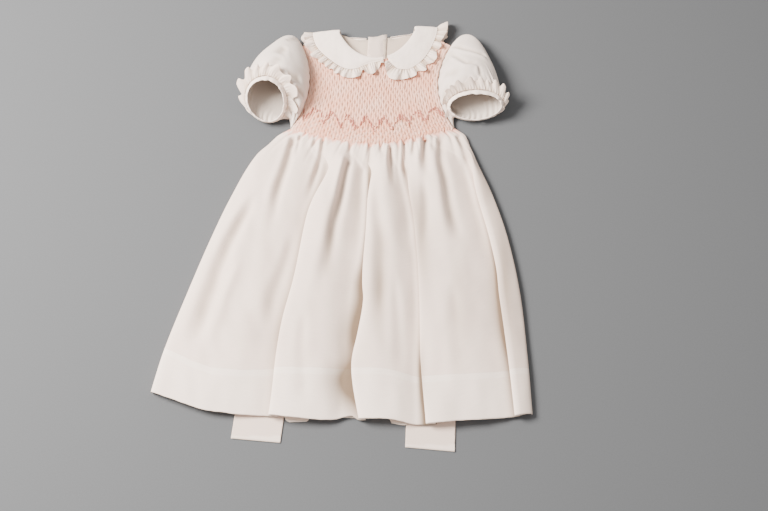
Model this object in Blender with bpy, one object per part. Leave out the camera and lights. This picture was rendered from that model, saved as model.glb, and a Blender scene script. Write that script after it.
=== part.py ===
"""A toddler's smocked dress with puffed sleeves, laid on its back on a flat surface.

The front is uppermost. +X is to the right as the dress is seen from above, +Y runs from the hem
towards the collar and +Z is up. The origin is under the middle of the whole garment, on the
surface that it lies on. Every piece of cloth is a closed wall. Sizes are in millimetres until a
mesh is made.
"""

import math
from collections import namedtuple

import bmesh
import bpy
from mathutils import Vector

METRES_PER_MM = 0.001
CENTRING_SHIFT = 1.43  # along Y: the outline below is drawn about a point this far off its middle
SEAM_GAP = 0.4  # clear space between two pieces that are sewn together
CURVED_SEAM_GAP = 1.1  # and where they follow a curve in flat facets

# Cloth thicknesses
SKIRT_CLOTH = 1.0
HEM_EXTRA = 0.5  # the hem is turned up inside, so its wall is thicker
HEM_DEPTH = 72.0
YOKE_CLOTH = 1.2
SLEEVE_CLOTH = 1.0
COLLAR_CLOTH = 1.2
RUFFLE_CLOTH = 1.0
SASH_CLOTH = 1.2

# Relief
SMOCKED_PLEATS = 55
SMOCK_HEIGHT = 1.5  # the pleat ridges stand this far off the valleys between them
SMOCK_SWAY = 0.2  # share of a pleat's pitch that a ridge leans to meet its neighbour
GATHERS = 25
GATHER_HEIGHT = 1.5
RUFFLE_PITCH = 13.0  # length of one ruffle wave along its seam
RUFFLE_WIDTH = 13.0
COLUMNS_PER_WAVE = 4
SLEEVE_RUFFLE_WAVES = 18
SLEEVE_RUFFLE_WIDTH = 14.0
SLEEVE_RUFFLE_SEAM = 1.6  # its seam is this far up the sleeve from the mouth
SLEEVE_RUFFLE_LIFT = 2.1  # and this far off the sleeve's cloth
RUFFLE_FLARE, RUFFLE_SWING = 7.0, 2.6  # its free edge stands off this much more, in and out by this
RUFFLE_FLARE_LOW, RUFFLE_SWING_LOW = 0.4, 0.3  # the same where it lies under the sleeve
RUFFLE_FAN, RUFFLE_FAN_WIDENS = 5.0, 0.12  # past the cap it fans out further and is wider
UNDERARM_CROWDING = 0.62  # it narrows by this share where the underarm is near

# Heights above the surface that the dress lies on
TROUGH_HEIGHT = 4.9  # outside of the front skirt where it dips between its folds
YOKE_EDGE_HEIGHT = 7.6
YOKE_MIDDLE_HEIGHT = 11.6
WAIST_EDGE_HEIGHT = 5.4
BACK_COLLAR_LIFT = 3.7  # the back yoke lies on the back of the collar
BUTTON_LIFT = 2.9  # and, lower down, on the buttons


# ---------------------------------------------------------------- interpolation

def ease(share):
    """0 below 0, 1 above 1, and a smooth step between."""
    share = min(1.0, max(0.0, share))
    return share * share * (3.0 - 2.0 * share)


def mix(first, last, share):
    return first + (last - first) * share


def column_at(rows, place, column):
    """A table's column at a place between rows, on a smooth curve through the rows' values."""
    keys = [row[0] for row in rows]
    values = [getattr(row, column) for row in rows]
    if place <= keys[0]:
        return values[0]
    if place >= keys[-1]:
        return values[-1]
    index = max(i for i, key in enumerate(keys) if key <= place)

    def slope(i):
        low, high = max(0, i - 1), min(len(keys) - 1, i + 1)
        return (values[high] - values[low]) / (keys[high] - keys[low])

    span = keys[index + 1] - keys[index]
    t = (place - keys[index]) / span
    return (
        values[index] * (1 + 2 * t) * (1 - t) ** 2
        + slope(index) * span * t * (1 - t) ** 2
        + values[index + 1] * t * t * (3 - 2 * t)
        + slope(index + 1) * span * t * t * (t - 1)
    )


def spline_through(controls, steps):
    """Points on a cubic B-spline near the control points, from the first one to the last."""
    ends = [controls[0] * 2 - controls[1], *controls, controls[-1] * 2 - controls[-2]]
    points = []
    for start in range(len(controls) - 1):
        a, b, c, d = ends[start : start + 4]
        for step in range(steps):
            t = step / steps
            points.append(
                (
                    a * (1 - t) ** 3
                    + b * (3 * t**3 - 6 * t**2 + 4)
                    + c * (-3 * t**3 + 3 * t**2 + 3 * t + 1)
                    + d * t**3
                )
                / 6
            )
    return [*points, controls[-1].copy()]


# ---------------------------------------------------------------- building cloth walls

def material(name, colour, roughness=0.85):
    made = bpy.data.materials.new(name)
    made.use_nodes = True
    shader = made.node_tree.nodes["Principled BSDF"]
    shader.inputs["Base Color"].default_value = (*colour, 1.0)
    shader.inputs["Roughness"].default_value = roughness
    shader.inputs["Metallic"].default_value = 0.0
    return made


def grid_normals(grid, ring):
    """Unit normals of a grid of points, along (next column) x (next row)."""
    rows, columns = len(grid), len(grid[0])
    normals = []
    for r in range(rows):
        above, below = grid[max(0, r - 1)], grid[min(rows - 1, r + 1)]
        line = []
        for c in range(columns):
            left = grid[r][(c - 1) % columns if ring else max(0, c - 1)]
            right = grid[r][(c + 1) % columns if ring else min(columns - 1, c + 1)]
            line.append((right - left).cross(below[c] - above[c]).normalized())
        normals.append(line)
    return normals


def evened(normals, ring):
    """Normals averaged with their neighbours, so that a wall keeps open round a tight bend."""
    rows, columns = len(normals), len(normals[0])
    made = []
    for r in range(rows):
        above, below = normals[max(0, r - 1)], normals[min(rows - 1, r + 1)]
        line = []
        for c in range(columns):
            left = normals[r][(c - 1) % columns if ring else max(0, c - 1)]
            right = normals[r][(c + 1) % columns if ring else min(columns - 1, c + 1)]
            line.append((normals[r][c] * 2 + left + right + above[c] + below[c]).normalized())
        made.append(line)
    return made


def offset(grid, distance, ring=False, passes=0):
    """The grid moved along its normals by a distance, or by one distance for each row."""
    distances = distance if isinstance(distance, list) else [distance] * len(grid)
    normals = grid_normals(grid, ring)
    for _ in range(passes):
        normals = evened(normals, ring)
    return [
        [point + normal * far for point, normal in zip(line, row_normals)]
        for line, row_normals, far in zip(grid, normals, distances)
    ]


def add_halves(bm, a, b, c, d):
    """The two triangles of a four-sided facet, split along its shorter diagonal."""
    if (a.co - c.co).length < (b.co - d.co).length:
        halves = ((a, b, c), (a, c, d))
    else:
        halves = ((a, b, d), (b, c, d))
    for half in halves:
        bm.faces.new(half)


def grid_faces(bm, grid, ring):
    """Adds a grid's points and faces, and returns its open edges, side by side."""
    made = [[bm.verts.new(point * METRES_PER_MM) for point in line] for line in grid]
    columns = len(grid[0])
    for upper, lower in zip(made, made[1:]):
        for c in range(columns if ring else columns - 1):
            after = (c + 1) % columns
            corners = (upper[c], upper[after], lower[after], lower[c])
            add_halves(bm, *corners)
    if ring:
        return [[*made[0], made[0][0]], [*made[-1], made[-1][0]]]
    right, left = [line[-1] for line in made], [line[0] for line in made]
    return [made[0], right, made[-1][::-1], left[::-1]]


def join_sides(bm, first, second):
    """Faces between two rows of points that run beside each other; their counts may differ."""
    if len(first) == len(second):
        for i in range(len(first) - 1):
            bm.faces.new((first[i], first[i + 1], second[i + 1], second[i]))
        return
    i = j = 0
    while i < len(first) - 1 or j < len(second) - 1:
        next_first, next_second = (i + 1) / (len(first) - 1), (j + 1) / (len(second) - 1)
        if next_first <= next_second + 1e-9:
            bm.faces.new((first[i], first[i + 1], second[j]))
            i += 1
        else:
            bm.faces.new((first[i], second[j + 1], second[j]))
            j += 1


def add_object(name, bm, finish):
    bmesh.ops.recalc_face_normals(bm, faces=bm.faces)
    mesh = bpy.data.meshes.new(name)
    bm.to_mesh(mesh)
    bm.free()
    mesh.materials.append(finish)
    mesh.shade_smooth()
    mesh.set_sharp_from_angle(angle=math.radians(50))
    made = bpy.data.objects.new(name, mesh)
    bpy.context.scene.collection.objects.link(made)
    return made


def cloth(name, outer, inner, finish, ring=False):
    """A closed wall between an outer and an inner grid of points."""
    bm = bmesh.new()
    outer_sides = grid_faces(bm, outer, ring)
    inner_sides = grid_faces(bm, inner, ring)
    for outer_side, inner_side in zip(outer_sides, inner_sides):
        join_sides(bm, outer_side, inner_side)
    return add_object(name, bm, finish)


# ---------------------------------------------------------------- the laid outline

# Armholes: where the sleeve seam passes at the shoulder, the front, the underarm and the back.
Ring = namedtuple("Ring", "cap front under back")
ARMHOLES = {
    "left": Ring((-64, 283, 4.6), (-52, 217, 8.0), (-77, 151, 3.2), (-52, 217, 0.9)),
    "right": Ring((156, 284, 4.6), (136, 218, 8.0), (158, 152, 3.2), (136, 218, 0.9)),
}
OUTWARD = {"left": -1, "right": 1}

# Ends of the shoulder fold: at the neck, and far out past the collar.
ShoulderLine = namedtuple("ShoulderLine", "neck_x neck_y slope")
SHOULDERS = {"left": ShoulderLine(-9, 309, 0.055), "right": ShoulderLine(104, 315, 0.03)}
SHOULDER_DROP = 1.0  # the front falls to the shoulder seam over its last stretch
SHOULDER_DROP_REACH = 16.0
SHOULDER_SEAM_BACK = 3.5  # the yokes stop this far short of the fold at the neck

NECK_CENTRE_X = 47.5
NECK_HALF_WIDTH = 56.5
NECK_DEPTH_FRONT = 49.5
NECK_DEPTH_BACK = 12.5
COLLAR_ROLL = 3.0  # the collar's fold stands this far into the neck from its seam

# The skirt's outline. v is 0 at the waist and 1 at the hem.
SkirtRow = namedtuple("SkirtRow", "v left_x left_y right_x right_y")
SKIRT_ROWS = (
    SkirtRow(0.00, -78, 150, 159, 151),
    SkirtRow(0.03, -96, 139, 174, 139),
    SkirtRow(0.12, -127, 105, 188, 100),
    SkirtRow(0.27, -157, 46, 209, 48),
    SkirtRow(0.43, -183, -18, 228, -15),
    SkirtRow(0.65, -213, -102, 243, -98),
    SkirtRow(0.85, -239, -180, 250, -185),
    SkirtRow(1.00, -254, -241, 254, -270),
)
ROW_SAG = 24.0  # the middle of each row hangs this far below its ends
SAG_AT_WAIST, SAG_AT_HEM = 1.3, 0.45  # powers: a narrow dip at the waist, a flat one at the hem


def ring_point(ring, angle, bluntness=1.0):
    """A point of a ring through four places; the angle is 0 at the cap and 90 at the front.

    A bluntness below 1 keeps a flattened ring's front and back apart up to its two ends.
    """
    cap, front, under, back = (Vector(place) for place in ring)
    middle = (cap + under) / 2
    sine = math.sin(angle)
    blunt_sine = math.copysign(abs(sine) ** bluntness, sine)
    return (
        middle
        + (cap - under) / 2 * math.cos(angle)
        + (front - back) / 2 * blunt_sine
        + ((front + back) / 2 - middle) * sine * sine
    )


def armhole_x(side, y):
    """Where an armhole's seam is at a height along the body."""
    ring = ARMHOLES[side]
    top, bottom = ring.cap[1], ring.under[1]
    cosine = min(1.0, max(-1.0, (2 * y - top - bottom) / (top - bottom)))
    return ring_point(ring, math.acos(cosine)).x


def shoulder_y(x):
    line = SHOULDERS["left" if x < NECK_CENTRE_X else "right"]
    return line.neck_y + (x - line.neck_x) * line.slope


def neck_fold_y(x):
    """The straight line from one shoulder point of the neck to the other."""
    left, right = SHOULDERS["left"], SHOULDERS["right"]
    return mix(left.neck_y, right.neck_y, (x - left.neck_x) / (right.neck_x - left.neck_x))


def neckline_y(x, depth, power):
    across = min(1.0, abs(x - NECK_CENTRE_X) / NECK_HALF_WIDTH)
    return neck_fold_y(x) - COLLAR_ROLL - depth * (1 - across**2) ** power


def yoke_shoulder_y(x):
    """The yokes' shoulder edge, which falls from the neck to the sleeve's cap."""
    side = "left" if x < NECK_CENTRE_X else "right"
    neck = SHOULDERS[side]
    cap_x, cap_y = ARMHOLES[side].cap[:2]
    along = (x - neck.neck_x) / (cap_x - neck.neck_x)
    return mix(neck.neck_y - SHOULDER_SEAM_BACK, cap_y, along)


def yoke_top_y(x, depth, power):
    """The top edge of a yoke: neckline in the middle and shoulders on either side."""
    if abs(x - NECK_CENTRE_X) < NECK_HALF_WIDTH:
        return min(neckline_y(x, depth, power), yoke_shoulder_y(x))
    return yoke_shoulder_y(x)


def front_top_y(x):
    return yoke_top_y(x, NECK_DEPTH_FRONT, 0.7)


def back_top_y(x):
    return yoke_top_y(x, NECK_DEPTH_BACK, 0.5)


def skirt_point(share, v):
    """A place on the surface: a share of the way along the skirt's row at v, left to right."""
    left_x, left_y, right_x, right_y = (
        column_at(SKIRT_ROWS, v, column) for column in SkirtRow._fields[1:]
    )
    inside = min(1.0, max(0.0, share))
    sag = math.sin(math.pi * inside) ** mix(SAG_AT_WAIST, SAG_AT_HEM, v) if 0 < inside < 1 else 0.0
    return Vector((mix(left_x, right_x, share), mix(left_y, right_y, share) - ROW_SAG * sag, 0.0))


def skirt_width(v):
    return column_at(SKIRT_ROWS, v, "right_x") - column_at(SKIRT_ROWS, v, "left_x")


def waist_y(x):
    return skirt_point((x - SKIRT_ROWS[0].left_x) / skirt_width(0.0), 0.0).y


def yoke_height(x, y):
    """Outside of the front yoke, in the valleys of its smocking."""
    above_waist = ease((y - waist_y(x)) / 60.0)
    left, right = armhole_x("left", y), armhole_x("right", y)
    across = min(1.0, abs(2 * (x - left) / (right - left) - 1))
    edge = mix(WAIST_EDGE_HEIGHT, YOKE_EDGE_HEIGHT, above_waist)
    height = mix(edge, YOKE_MIDDLE_HEIGHT, (1 - across**2) ** 0.6)
    near_shoulder = 1 - ease((shoulder_y(x) - y) / SHOULDER_DROP_REACH)
    outside_neck = ease((abs(x - NECK_CENTRE_X) - NECK_HALF_WIDTH + 6) / 14)
    return height - SHOULDER_DROP * near_shoulder * outside_neck


# ---------------------------------------------------------------- front yoke with its smocking

YOKE_ROWS = 9
YOKE_INNER_COLUMNS, YOKE_INNER_ROWS = SMOCKED_PLEATS, 5


def yoke_plan(share, rise):
    """A place of the front yoke: share runs left to right, rise from the waist to the top."""
    def bottom(s):
        point = skirt_point(s, 0.0)
        point.x = mix(ARMHOLES["left"].under[0], ARMHOLES["right"].under[0], s)
        point.x += CURVED_SEAM_GAP * (1 - 2 * s)
        point.y += SEAM_GAP
        return point

    def top(s):
        left = ARMHOLES["left"].cap[0] + CURVED_SEAM_GAP
        right = ARMHOLES["right"].cap[0] - CURVED_SEAM_GAP
        x = mix(left, right, s)
        return Vector((x, front_top_y(x), 0.0))

    def side(name, w):
        y = mix(ARMHOLES[name].under[1], ARMHOLES[name].cap[1], w)
        return Vector((armhole_x(name, y) - CURVED_SEAM_GAP * OUTWARD[name], y, 0.0))

    corners = (
        bottom(0) * (1 - share) * (1 - rise)
        + bottom(1) * share * (1 - rise)
        + top(0) * (1 - share) * rise
        + top(1) * share * rise
    )
    ruled = (
        bottom(share) * (1 - rise)
        + top(share) * rise
        + side("left", rise) * (1 - share)
        + side("right", rise) * share
    )
    return ruled - corners


def yoke_surface(share, rise, height=0.0):
    point = yoke_plan(share, rise)
    point.z = yoke_height(point.x, point.y) + height
    return point


def front_yoke(finish):
    """Pleated cloth whose ridges lean together in pairs, one pair up and the next one down."""
    columns = 2 * SMOCKED_PLEATS
    outer = []
    for row in range(YOKE_ROWS + 1):
        line = []
        for column in range(columns + 1):
            ridge = column % 2
            pleat = column // 2
            sway = SMOCK_SWAY if (pleat + row) % 2 else -SMOCK_SWAY
            share = (column + 2 * sway * ridge) / columns
            line.append(yoke_surface(share, row / YOKE_ROWS, SMOCK_HEIGHT * ridge))
        outer.append(line)
    inner = [
        [
            yoke_surface(column / YOKE_INNER_COLUMNS, row / YOKE_INNER_ROWS, -YOKE_CLOTH)
            for column in range(YOKE_INNER_COLUMNS + 1)
        ]
        for row in range(YOKE_INNER_ROWS + 1)
    ]
    return cloth("front_yoke_smocked", outer, inner, finish)


# ---------------------------------------------------------------- front skirt with its folds

# Soft rounded folds, from left to right: how many control points cross each one, how high its
# crest stands over the troughs in the upper skirt and at the hem.
Lobe = namedtuple("Lobe", "points crest_high crest_hem")
LOBES = (Lobe(7, 12, 9), Lobe(5, 13, 10), Lobe(5, 14, 11), Lobe(5, 12, 9), Lobe(3, 8, 7.5))

# Pleats between them. The fold on the right lies over the one on its left. Each row gives one
# place down the skirt: the edge's share of the width, the overlap, and how far it stands open.
PleatRow = namedtuple("PleatRow", "v share lap opening")
PLEATS = (
    (
        PleatRow(0.00, 0.24, 0, 0),
        PleatRow(0.10, 0.32, 5, 0),
        PleatRow(0.40, 0.28, 7, 0),
        PleatRow(1.00, 0.31, 9, 0),
    ),
    (
        PleatRow(0.00, 0.46, 0, 0),
        PleatRow(0.10, 0.50, 4.5, 0),
        PleatRow(0.45, 0.517, 9, 1),
        PleatRow(0.62, 0.522, 8, 11),
        PleatRow(0.78, 0.514, 7, 9),
        PleatRow(0.86, 0.52, 6, 6),
        PleatRow(1.00, 0.542, 6, 17),
    ),
    (
        PleatRow(0.00, 0.66, 0, 0),
        PleatRow(0.10, 0.665, 4, 0),
        PleatRow(0.40, 0.69, 5, 0),
        PleatRow(0.80, 0.708, 9, 0),
        PleatRow(1.00, 0.726, 11, 6),
    ),
    (
        PleatRow(0.00, 0.88, 0, 0),
        PleatRow(0.10, 0.95, 1, 0),
        PleatRow(0.40, 0.92, 3, 0),
        PleatRow(1.00, 0.94, 4, 0),
    ),
)
FOLDS_OPEN_BY = 0.11  # v where the gathers have spread into folds
PLEATS_START, PLEATS_DONE = 0.02, 0.25  # v where a pleat begins to lie over and where it does
EDGE_REACH = 6.0

# Softer dips that cross the folds' tops: where they start and end, and their depth and width.
Dip = namedtuple("Dip", "top_share hem_share top_v hem_v depth width")
DIPS = (
    Dip(0.09, 0.11, 0.03, 0.75, 3.0, 0.028),
    Dip(0.17, 0.17, 0.10, 0.95, 2.2, 0.024),
    Dip(0.37, 0.345, 0.05, 0.55, 3.6, 0.022),
    Dip(0.555, 0.555, 0.02, 0.22, 3.2, 0.014),
    Dip(0.60, 0.59, 0.30, 0.98, 2.6, 0.022),
    Dip(0.745, 0.75, 0.03, 0.45, 2.8, 0.018),
    Dip(0.80, 0.805, 0.05, 0.80, 3.0, 0.020),
)
SKIRT_ROW_PLACES = (0, 0.035, 0.08, 0.14, 0.19, 0.25, 0.39, 0.61)
HEM_STEP = 0.006  # v over which the wall thickens into the hem
SPLINE_STEPS = 2


def hem_top_v():
    length = column_at(SKIRT_ROWS, 0, "left_y") - column_at(SKIRT_ROWS, 1, "left_y")
    return 1 - HEM_DEPTH / (length + ROW_SAG)


def pleat_at(pleat, v):
    return PleatRow(v, *(column_at(pleat, v, column) for column in ("share", "lap", "opening")))


def pleat_controls(x, pleat, grown):
    """Control points of a pleat: a spread step when grown is 0, a lying fold when it is 1."""
    lap, opening = pleat.lap, pleat.opening
    spread = [(-8.0, 1.6), (-5.0, 1.0), (-2.0, 1.2), (1.0, 2.6), (4.0, 4.0), (7.0, 5.6)]
    folded = [
        (-opening - 4.0, 1.2),
        (-opening * 0.4 + lap * 0.6, 0.0),
        (lap + 1.8, 0.1),
        (lap + 1.5, 3.1),
        (-0.3, 3.2),
        (-3.6, 6.0),
    ]
    return [
        (x + mix(flat[0], bent[0], grown), TROUGH_HEIGHT + mix(flat[1], bent[1], grown), grown)
        for flat, bent in zip(spread, folded)
    ]


def skirt_controls(v):
    """Control points across the open folds at v: x from the left edge, height, folded share."""
    width = skirt_width(v)
    low = TROUGH_HEIGHT
    grown = ease((v - PLEATS_START) / (PLEATS_DONE - PLEATS_START))
    points = [(1.2, 1.7, 1.0), (-0.6, low + 0.6, 1.0)]
    edges = [pleat_at(pleat, v) for pleat in PLEATS]
    starts = [EDGE_REACH * 0.4] + [edge.share * width - 0.3 for edge in edges]
    ends = [edge.share * width - edge.opening - 11 for edge in edges] + [width - EDGE_REACH * 0.4]
    for index, lobe in enumerate(LOBES):
        crest = mix(lobe.crest_high, lobe.crest_hem, ease((v - 0.2) / 0.8))
        start_x = starts[index] + (mix(9.0, 0.0, grown) if index else 0.0)
        start_height = mix(6.0, 9.0, grown) if index else 5.0
        for step in range(lobe.points):
            along = step / (lobe.points - 1 if lobe.points > 2 else 2)
            arch = math.sin(math.pi * min(1, along + 0.04)) ** 0.75 if along < 0.96 else 0
            height = low + mix(start_height, 4.0, along) + (crest - 6) * arch
            points.append((mix(start_x, ends[index], along), height, 0.0 if step else grown))
        if index < len(edges):
            points += pleat_controls(edges[index].share * width, edges[index], grown)
    points += [(width + 0.6, low + 0.6, 1.0), (width - 1.2, 1.7, 1.0)]
    return points


def gather_wave(share, v):
    """Height of the small gathers under the waist, each fading out at its own place."""
    turn = GATHERS * share
    number = math.floor(turn + 0.5)
    reach = 0.10 + 0.16 * ((number * 0.618) % 1.0)
    strength = 0.75 + 0.25 * math.cos(number * 2.4)
    return GATHER_HEIGHT * strength * math.cos(2 * math.pi * turn) * (1 - ease(v / reach))


def dip_depth(share, v):
    depth = 0.0
    for dip in DIPS:
        if dip.top_v < v < dip.hem_v:
            along = (v - dip.top_v) / (dip.hem_v - dip.top_v)
            away = (share - mix(dip.top_share, dip.hem_share, along)) / dip.width
            depth += dip.depth * math.exp(-away * away) * math.sin(math.pi * along) ** 0.6
    return depth


def skirt_front_row(v, steps):
    """Points across the front skirt at v."""
    width = skirt_width(v)
    opened = ease(v / FOLDS_OPEN_BY)
    controls = skirt_controls(v)
    last = len(controls) - 1
    shaped = []
    for index, (x, height, folded) in enumerate(controls):
        even = index / last
        waist = skirt_point(even, 0.0)
        flat_height = yoke_height(waist.x, waist.y)
        place = Vector((mix(even * width, x, opened), mix(flat_height, height, opened), 0))
        shaped.append(Vector((place.x, place.y, folded * opened)))
    line = []
    curve = spline_through(shaped, steps)
    for index, (x, height, folded) in enumerate(curve):
        even = index / (len(curve) - 1)
        point = skirt_point(x / width, v)
        free = ease(min(even, 1 - even) / 0.03) * (1 - min(1.0, folded))
        point.z = height + (gather_wave(even, v) - dip_depth(even, v)) * free
        line.append(point)
    return line


def skirt_front(finish):
    hem_top = hem_top_v()
    hem_rows = [hem_top - HEM_STEP, hem_top + HEM_STEP, mix(hem_top, 1, 0.5), 1.0]
    places = [*SKIRT_ROW_PLACES, *hem_rows]
    outer = [skirt_front_row(v, SPLINE_STEPS) for v in places]
    thickness = [SKIRT_CLOTH + (HEM_EXTRA if v > hem_top else 0.0) for v in places]
    return cloth("skirt_front", outer, offset(outer, thickness, passes=1), finish)


# ---------------------------------------------------------------- sash

SASH_WIDTH = 65.0
SashEnd = namedtuple("SashEnd", "top_x top_y end_x end_y turn")
SASHES = {
    "left": SashEnd(-60, 138, -112.5, -306, 6.0),
    "right": SashEnd(136, 140, 117.5, -318, 6.0),
}
SASH_GATHERED_WIDTH = 30.0
SASH_FLARE = 0.22  # share of its length over which it opens out to its full width
SASH_ROWS = 9


def sash_line(side, y):
    """The middle of a sash and its half width, at a place down the skirt."""
    sash = SASHES[side]
    along = (sash.top_y - y) / (sash.top_y - sash.end_y)
    wide = mix(SASH_GATHERED_WIDTH, SASH_WIDTH, ease(along / SASH_FLARE))
    return mix(sash.top_x, sash.end_x, along), wide / 2


def sash(side, finish):
    end = SASHES[side]
    outer = []
    for row in range(SASH_ROWS + 1):
        y = mix(end.top_y, end.end_y, row / SASH_ROWS)
        middle, half = sash_line(side, y)
        skew = end.turn * row / SASH_ROWS / 2
        outer.append(
            [
                Vector((middle + half * across, y - skew * across, SASH_CLOTH))
                for across in (-1, 0, 1)
            ]
        )
    inner = [[Vector((p.x, p.y, 0.0)) for p in line] for line in outer]
    return cloth(f"sash_{side}", outer, inner, finish)


# ---------------------------------------------------------------- back skirt

BACK_SASH_LIFT = SASH_CLOTH + 0.3
BACK_RAMP = 8.0  # the back skirt comes down to the surface over this width beside a sash
BACK_HEM_SHOWS = 3.0  # it reaches this far below the front hem between the folds
BACK_HEM_RETREATS = 5.0  # and stops this far above it elsewhere
BACK_HEM_PLACES = ((-56, 26), (83, 20))  # where it shows: middle and reach along X
BACK_ROW_PLACES = (0, 0.06, 0.14, 0.24, 0.38, 0.55, 0.72, 0.87, 1.0)


def back_hem_shift(x):
    shows = sum(ease(1 - abs(x - middle) / reach) for middle, reach in BACK_HEM_PLACES)
    return mix(BACK_HEM_RETREATS, -BACK_HEM_SHOWS, min(1.0, shows))


def skirt_back_row(v):
    left = skirt_point(0, v).x + 1.6
    right = skirt_point(1, v).x - 1.6
    stations = [(left, 0.0)]
    middle_y = skirt_point(0.5, v).y
    for side in ("left", "right"):
        centre, half = sash_line(side, middle_y)
        lift = BACK_SASH_LIFT
        edges = [centre - half - BACK_RAMP, centre - half - 2, centre + half + 2]
        stations += [(edges[0], 0.0), (edges[1], lift), (edges[2], lift)]
        stations.append((edges[2] + BACK_RAMP - 2, 0.0))
    low, high = left + 2.0, right - 2.0
    stations = [stations[0]] + [(min(high, max(low, x)), z) for x, z in stations[1:]]
    spread = []
    for (x0, z0), (x1, z1) in zip(stations, stations[1:] + [(right, 0.0)]):
        count = 1 if z0 != z1 else 4
        spread += [(mix(x0, x1, i / count), mix(z0, z1, i / count)) for i in range(count)]
    spread.append((right, 0.0))
    for index in range(1, len(spread)):  # squeezed columns near the waist stay in order
        x, z = spread[index]
        spread[index] = (max(x, spread[index - 1][0] + 0.25), z)
    line = []
    for x, z in spread:
        share = (x - skirt_point(0, v).x) / skirt_width(v)
        point = skirt_point(share, v)
        point.x = x
        point.y += back_hem_shift(x) * ease((v - 0.6) / 0.4)
        line.append(Vector((point.x, point.y, z)))
    return line


def skirt_back(finish):
    inner = [skirt_back_row(v) for v in BACK_ROW_PLACES]
    outer = [[point + Vector((0, 0, SKIRT_CLOTH)) for point in line] for line in inner]
    return cloth("skirt_back", outer, inner, finish)


# ---------------------------------------------------------------- back yoke, placket and buttons

PLACKET_HALF = 14.0
PLACKET_LENGTH = 166.0
PLACKET_SEAM_GAP = 0.75  # between the placket and the lap that it is sewn onto
PLACKET_ROWS = 9
CENTRE_BACK_X, CENTRE_BACK_Y = 48.0, 300.0  # the centre back at the neck
CENTRE_BACK_LEAN = 0.058  # it leans with the dress
BACK_YOKE_RISES = (0, 0.12, 0.27, 0.42, 0.52, 0.60, 0.70, 0.85, 1.0)
BACK_YOKE_OUTER_COLUMNS = 4
# Columns of a half beyond those: distances from the centre back, positive on its own side.
BACK_YOKE_CENTRE_COLUMNS = (27, 18, 9, 0, -9, -PLACKET_HALF)
COLLAR_ZONE_Y, COLLAR_ZONE_RAMP = 216.0, 16.0  # the back rises onto the collar over this ramp
BUTTON_ZONE_Y, BUTTON_ZONE_RAMP = 135.0, 20.0  # and onto the buttons over this one
BUTTON_ZONE_HALF, BUTTON_ZONE_SIDE = 10.0, 22.0  # half width of that rise, and its side ramps
LAP_STEP = 1.6  # the left half of the back lies this far above the right one
LAP_START, LAP_RAMP = 27.0, 9.0  # the step begins this far from the centre back
BUTTON_RADIUS = 5.5
BUTTON_THICKNESS = 2.2
BUTTON_SEAT_GAP = 0.7  # between a button and the yoke it is sewn under
BUTTON_FLOOR_GAP = 0.2
BUTTON_TAPER = 0.9  # share of its radius that its upper face keeps
BUTTON_DROPS = (16.0, 62.0, 108.0)  # down the placket from the neck


def centre_back_x(y):
    return CENTRE_BACK_X - (CENTRE_BACK_Y - y) * CENTRE_BACK_LEAN


def back_lift(x, y):
    collar = BACK_COLLAR_LIFT * ease((y - COLLAR_ZONE_Y) / COLLAR_ZONE_RAMP)
    beside = abs(x - centre_back_x(y)) - BUTTON_ZONE_HALF
    low_end = ease((y - BUTTON_ZONE_Y) / BUTTON_ZONE_RAMP)
    buttons = BUTTON_LIFT * ease(1 - beside / BUTTON_ZONE_SIDE) * low_end
    return max(collar, buttons)


def back_yoke(side, finish):
    """Half of the back. The left half laps over the right one inside the neck."""
    outward = OUTWARD[side]
    armhole_top, armhole_bottom = ARMHOLES[side].cap[1], ARMHOLES[side].under[1]
    lower = []
    for rise in BACK_YOKE_RISES:
        y_edge = mix(armhole_bottom, armhole_top, rise)
        edge = armhole_x(side, y_edge) - CURVED_SEAM_GAP * outward
        middle = centre_back_x(mix(waist_y(NECK_CENTRE_X), back_top_y(NECK_CENTRE_X), rise))
        centre = [middle + outward * away for away in BACK_YOKE_CENTRE_COLUMNS]
        spans = range(BACK_YOKE_OUTER_COLUMNS)
        places = [mix(edge, centre[0], span / len(spans)) for span in spans] + centre
        line = []
        for x in places:
            y = mix(waist_y(x) + 2 * CURVED_SEAM_GAP, back_top_y(x), rise)
            z = back_lift(x, y)
            if side == "left":
                z += LAP_STEP * ease((x - middle + LAP_START) / LAP_RAMP)
            line.append(Vector((x, y, z)))
        lower.append(line)
    outer = [[point + Vector((0, 0, SKIRT_CLOTH)) for point in line] for line in lower]
    return cloth(f"back_yoke_{side}", outer, lower, finish)


def placket(finish):
    bottom = []
    for row in range(PLACKET_ROWS + 1):
        line = []
        for across in (-1, 0, 1):
            top = back_top_y(CENTRE_BACK_X + across * PLACKET_HALF)
            y = top - PLACKET_LENGTH * row / PLACKET_ROWS
            middle = centre_back_x(y)
            height = back_lift(middle, y) + LAP_STEP + SKIRT_CLOTH + PLACKET_SEAM_GAP
            line.append(Vector((middle + across * (PLACKET_HALF - 0.2), y, height)))
        bottom.append(line)
    outer = [[point + Vector((0, 0, SKIRT_CLOTH)) for point in line] for line in bottom]
    return cloth("back_placket", outer, bottom, finish)


def button(number, drop, finish):
    y = back_top_y(CENTRE_BACK_X) - drop
    bm = bmesh.new()
    bmesh.ops.create_cone(
        bm,
        cap_ends=True,
        segments=16,
        radius1=BUTTON_RADIUS * METRES_PER_MM,
        radius2=BUTTON_RADIUS * BUTTON_TAPER * METRES_PER_MM,
        depth=BUTTON_THICKNESS * METRES_PER_MM,
    )
    made = add_object(f"button_{number}", bm, finish)
    x = centre_back_x(y)
    base = max(BUTTON_FLOOR_GAP, back_lift(x, y) - BUTTON_SEAT_GAP - BUTTON_THICKNESS)
    middle = Vector((x, y, base + BUTTON_THICKNESS / 2))
    made.location = middle * METRES_PER_MM
    return made


# ---------------------------------------------------------------- sleeves

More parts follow.
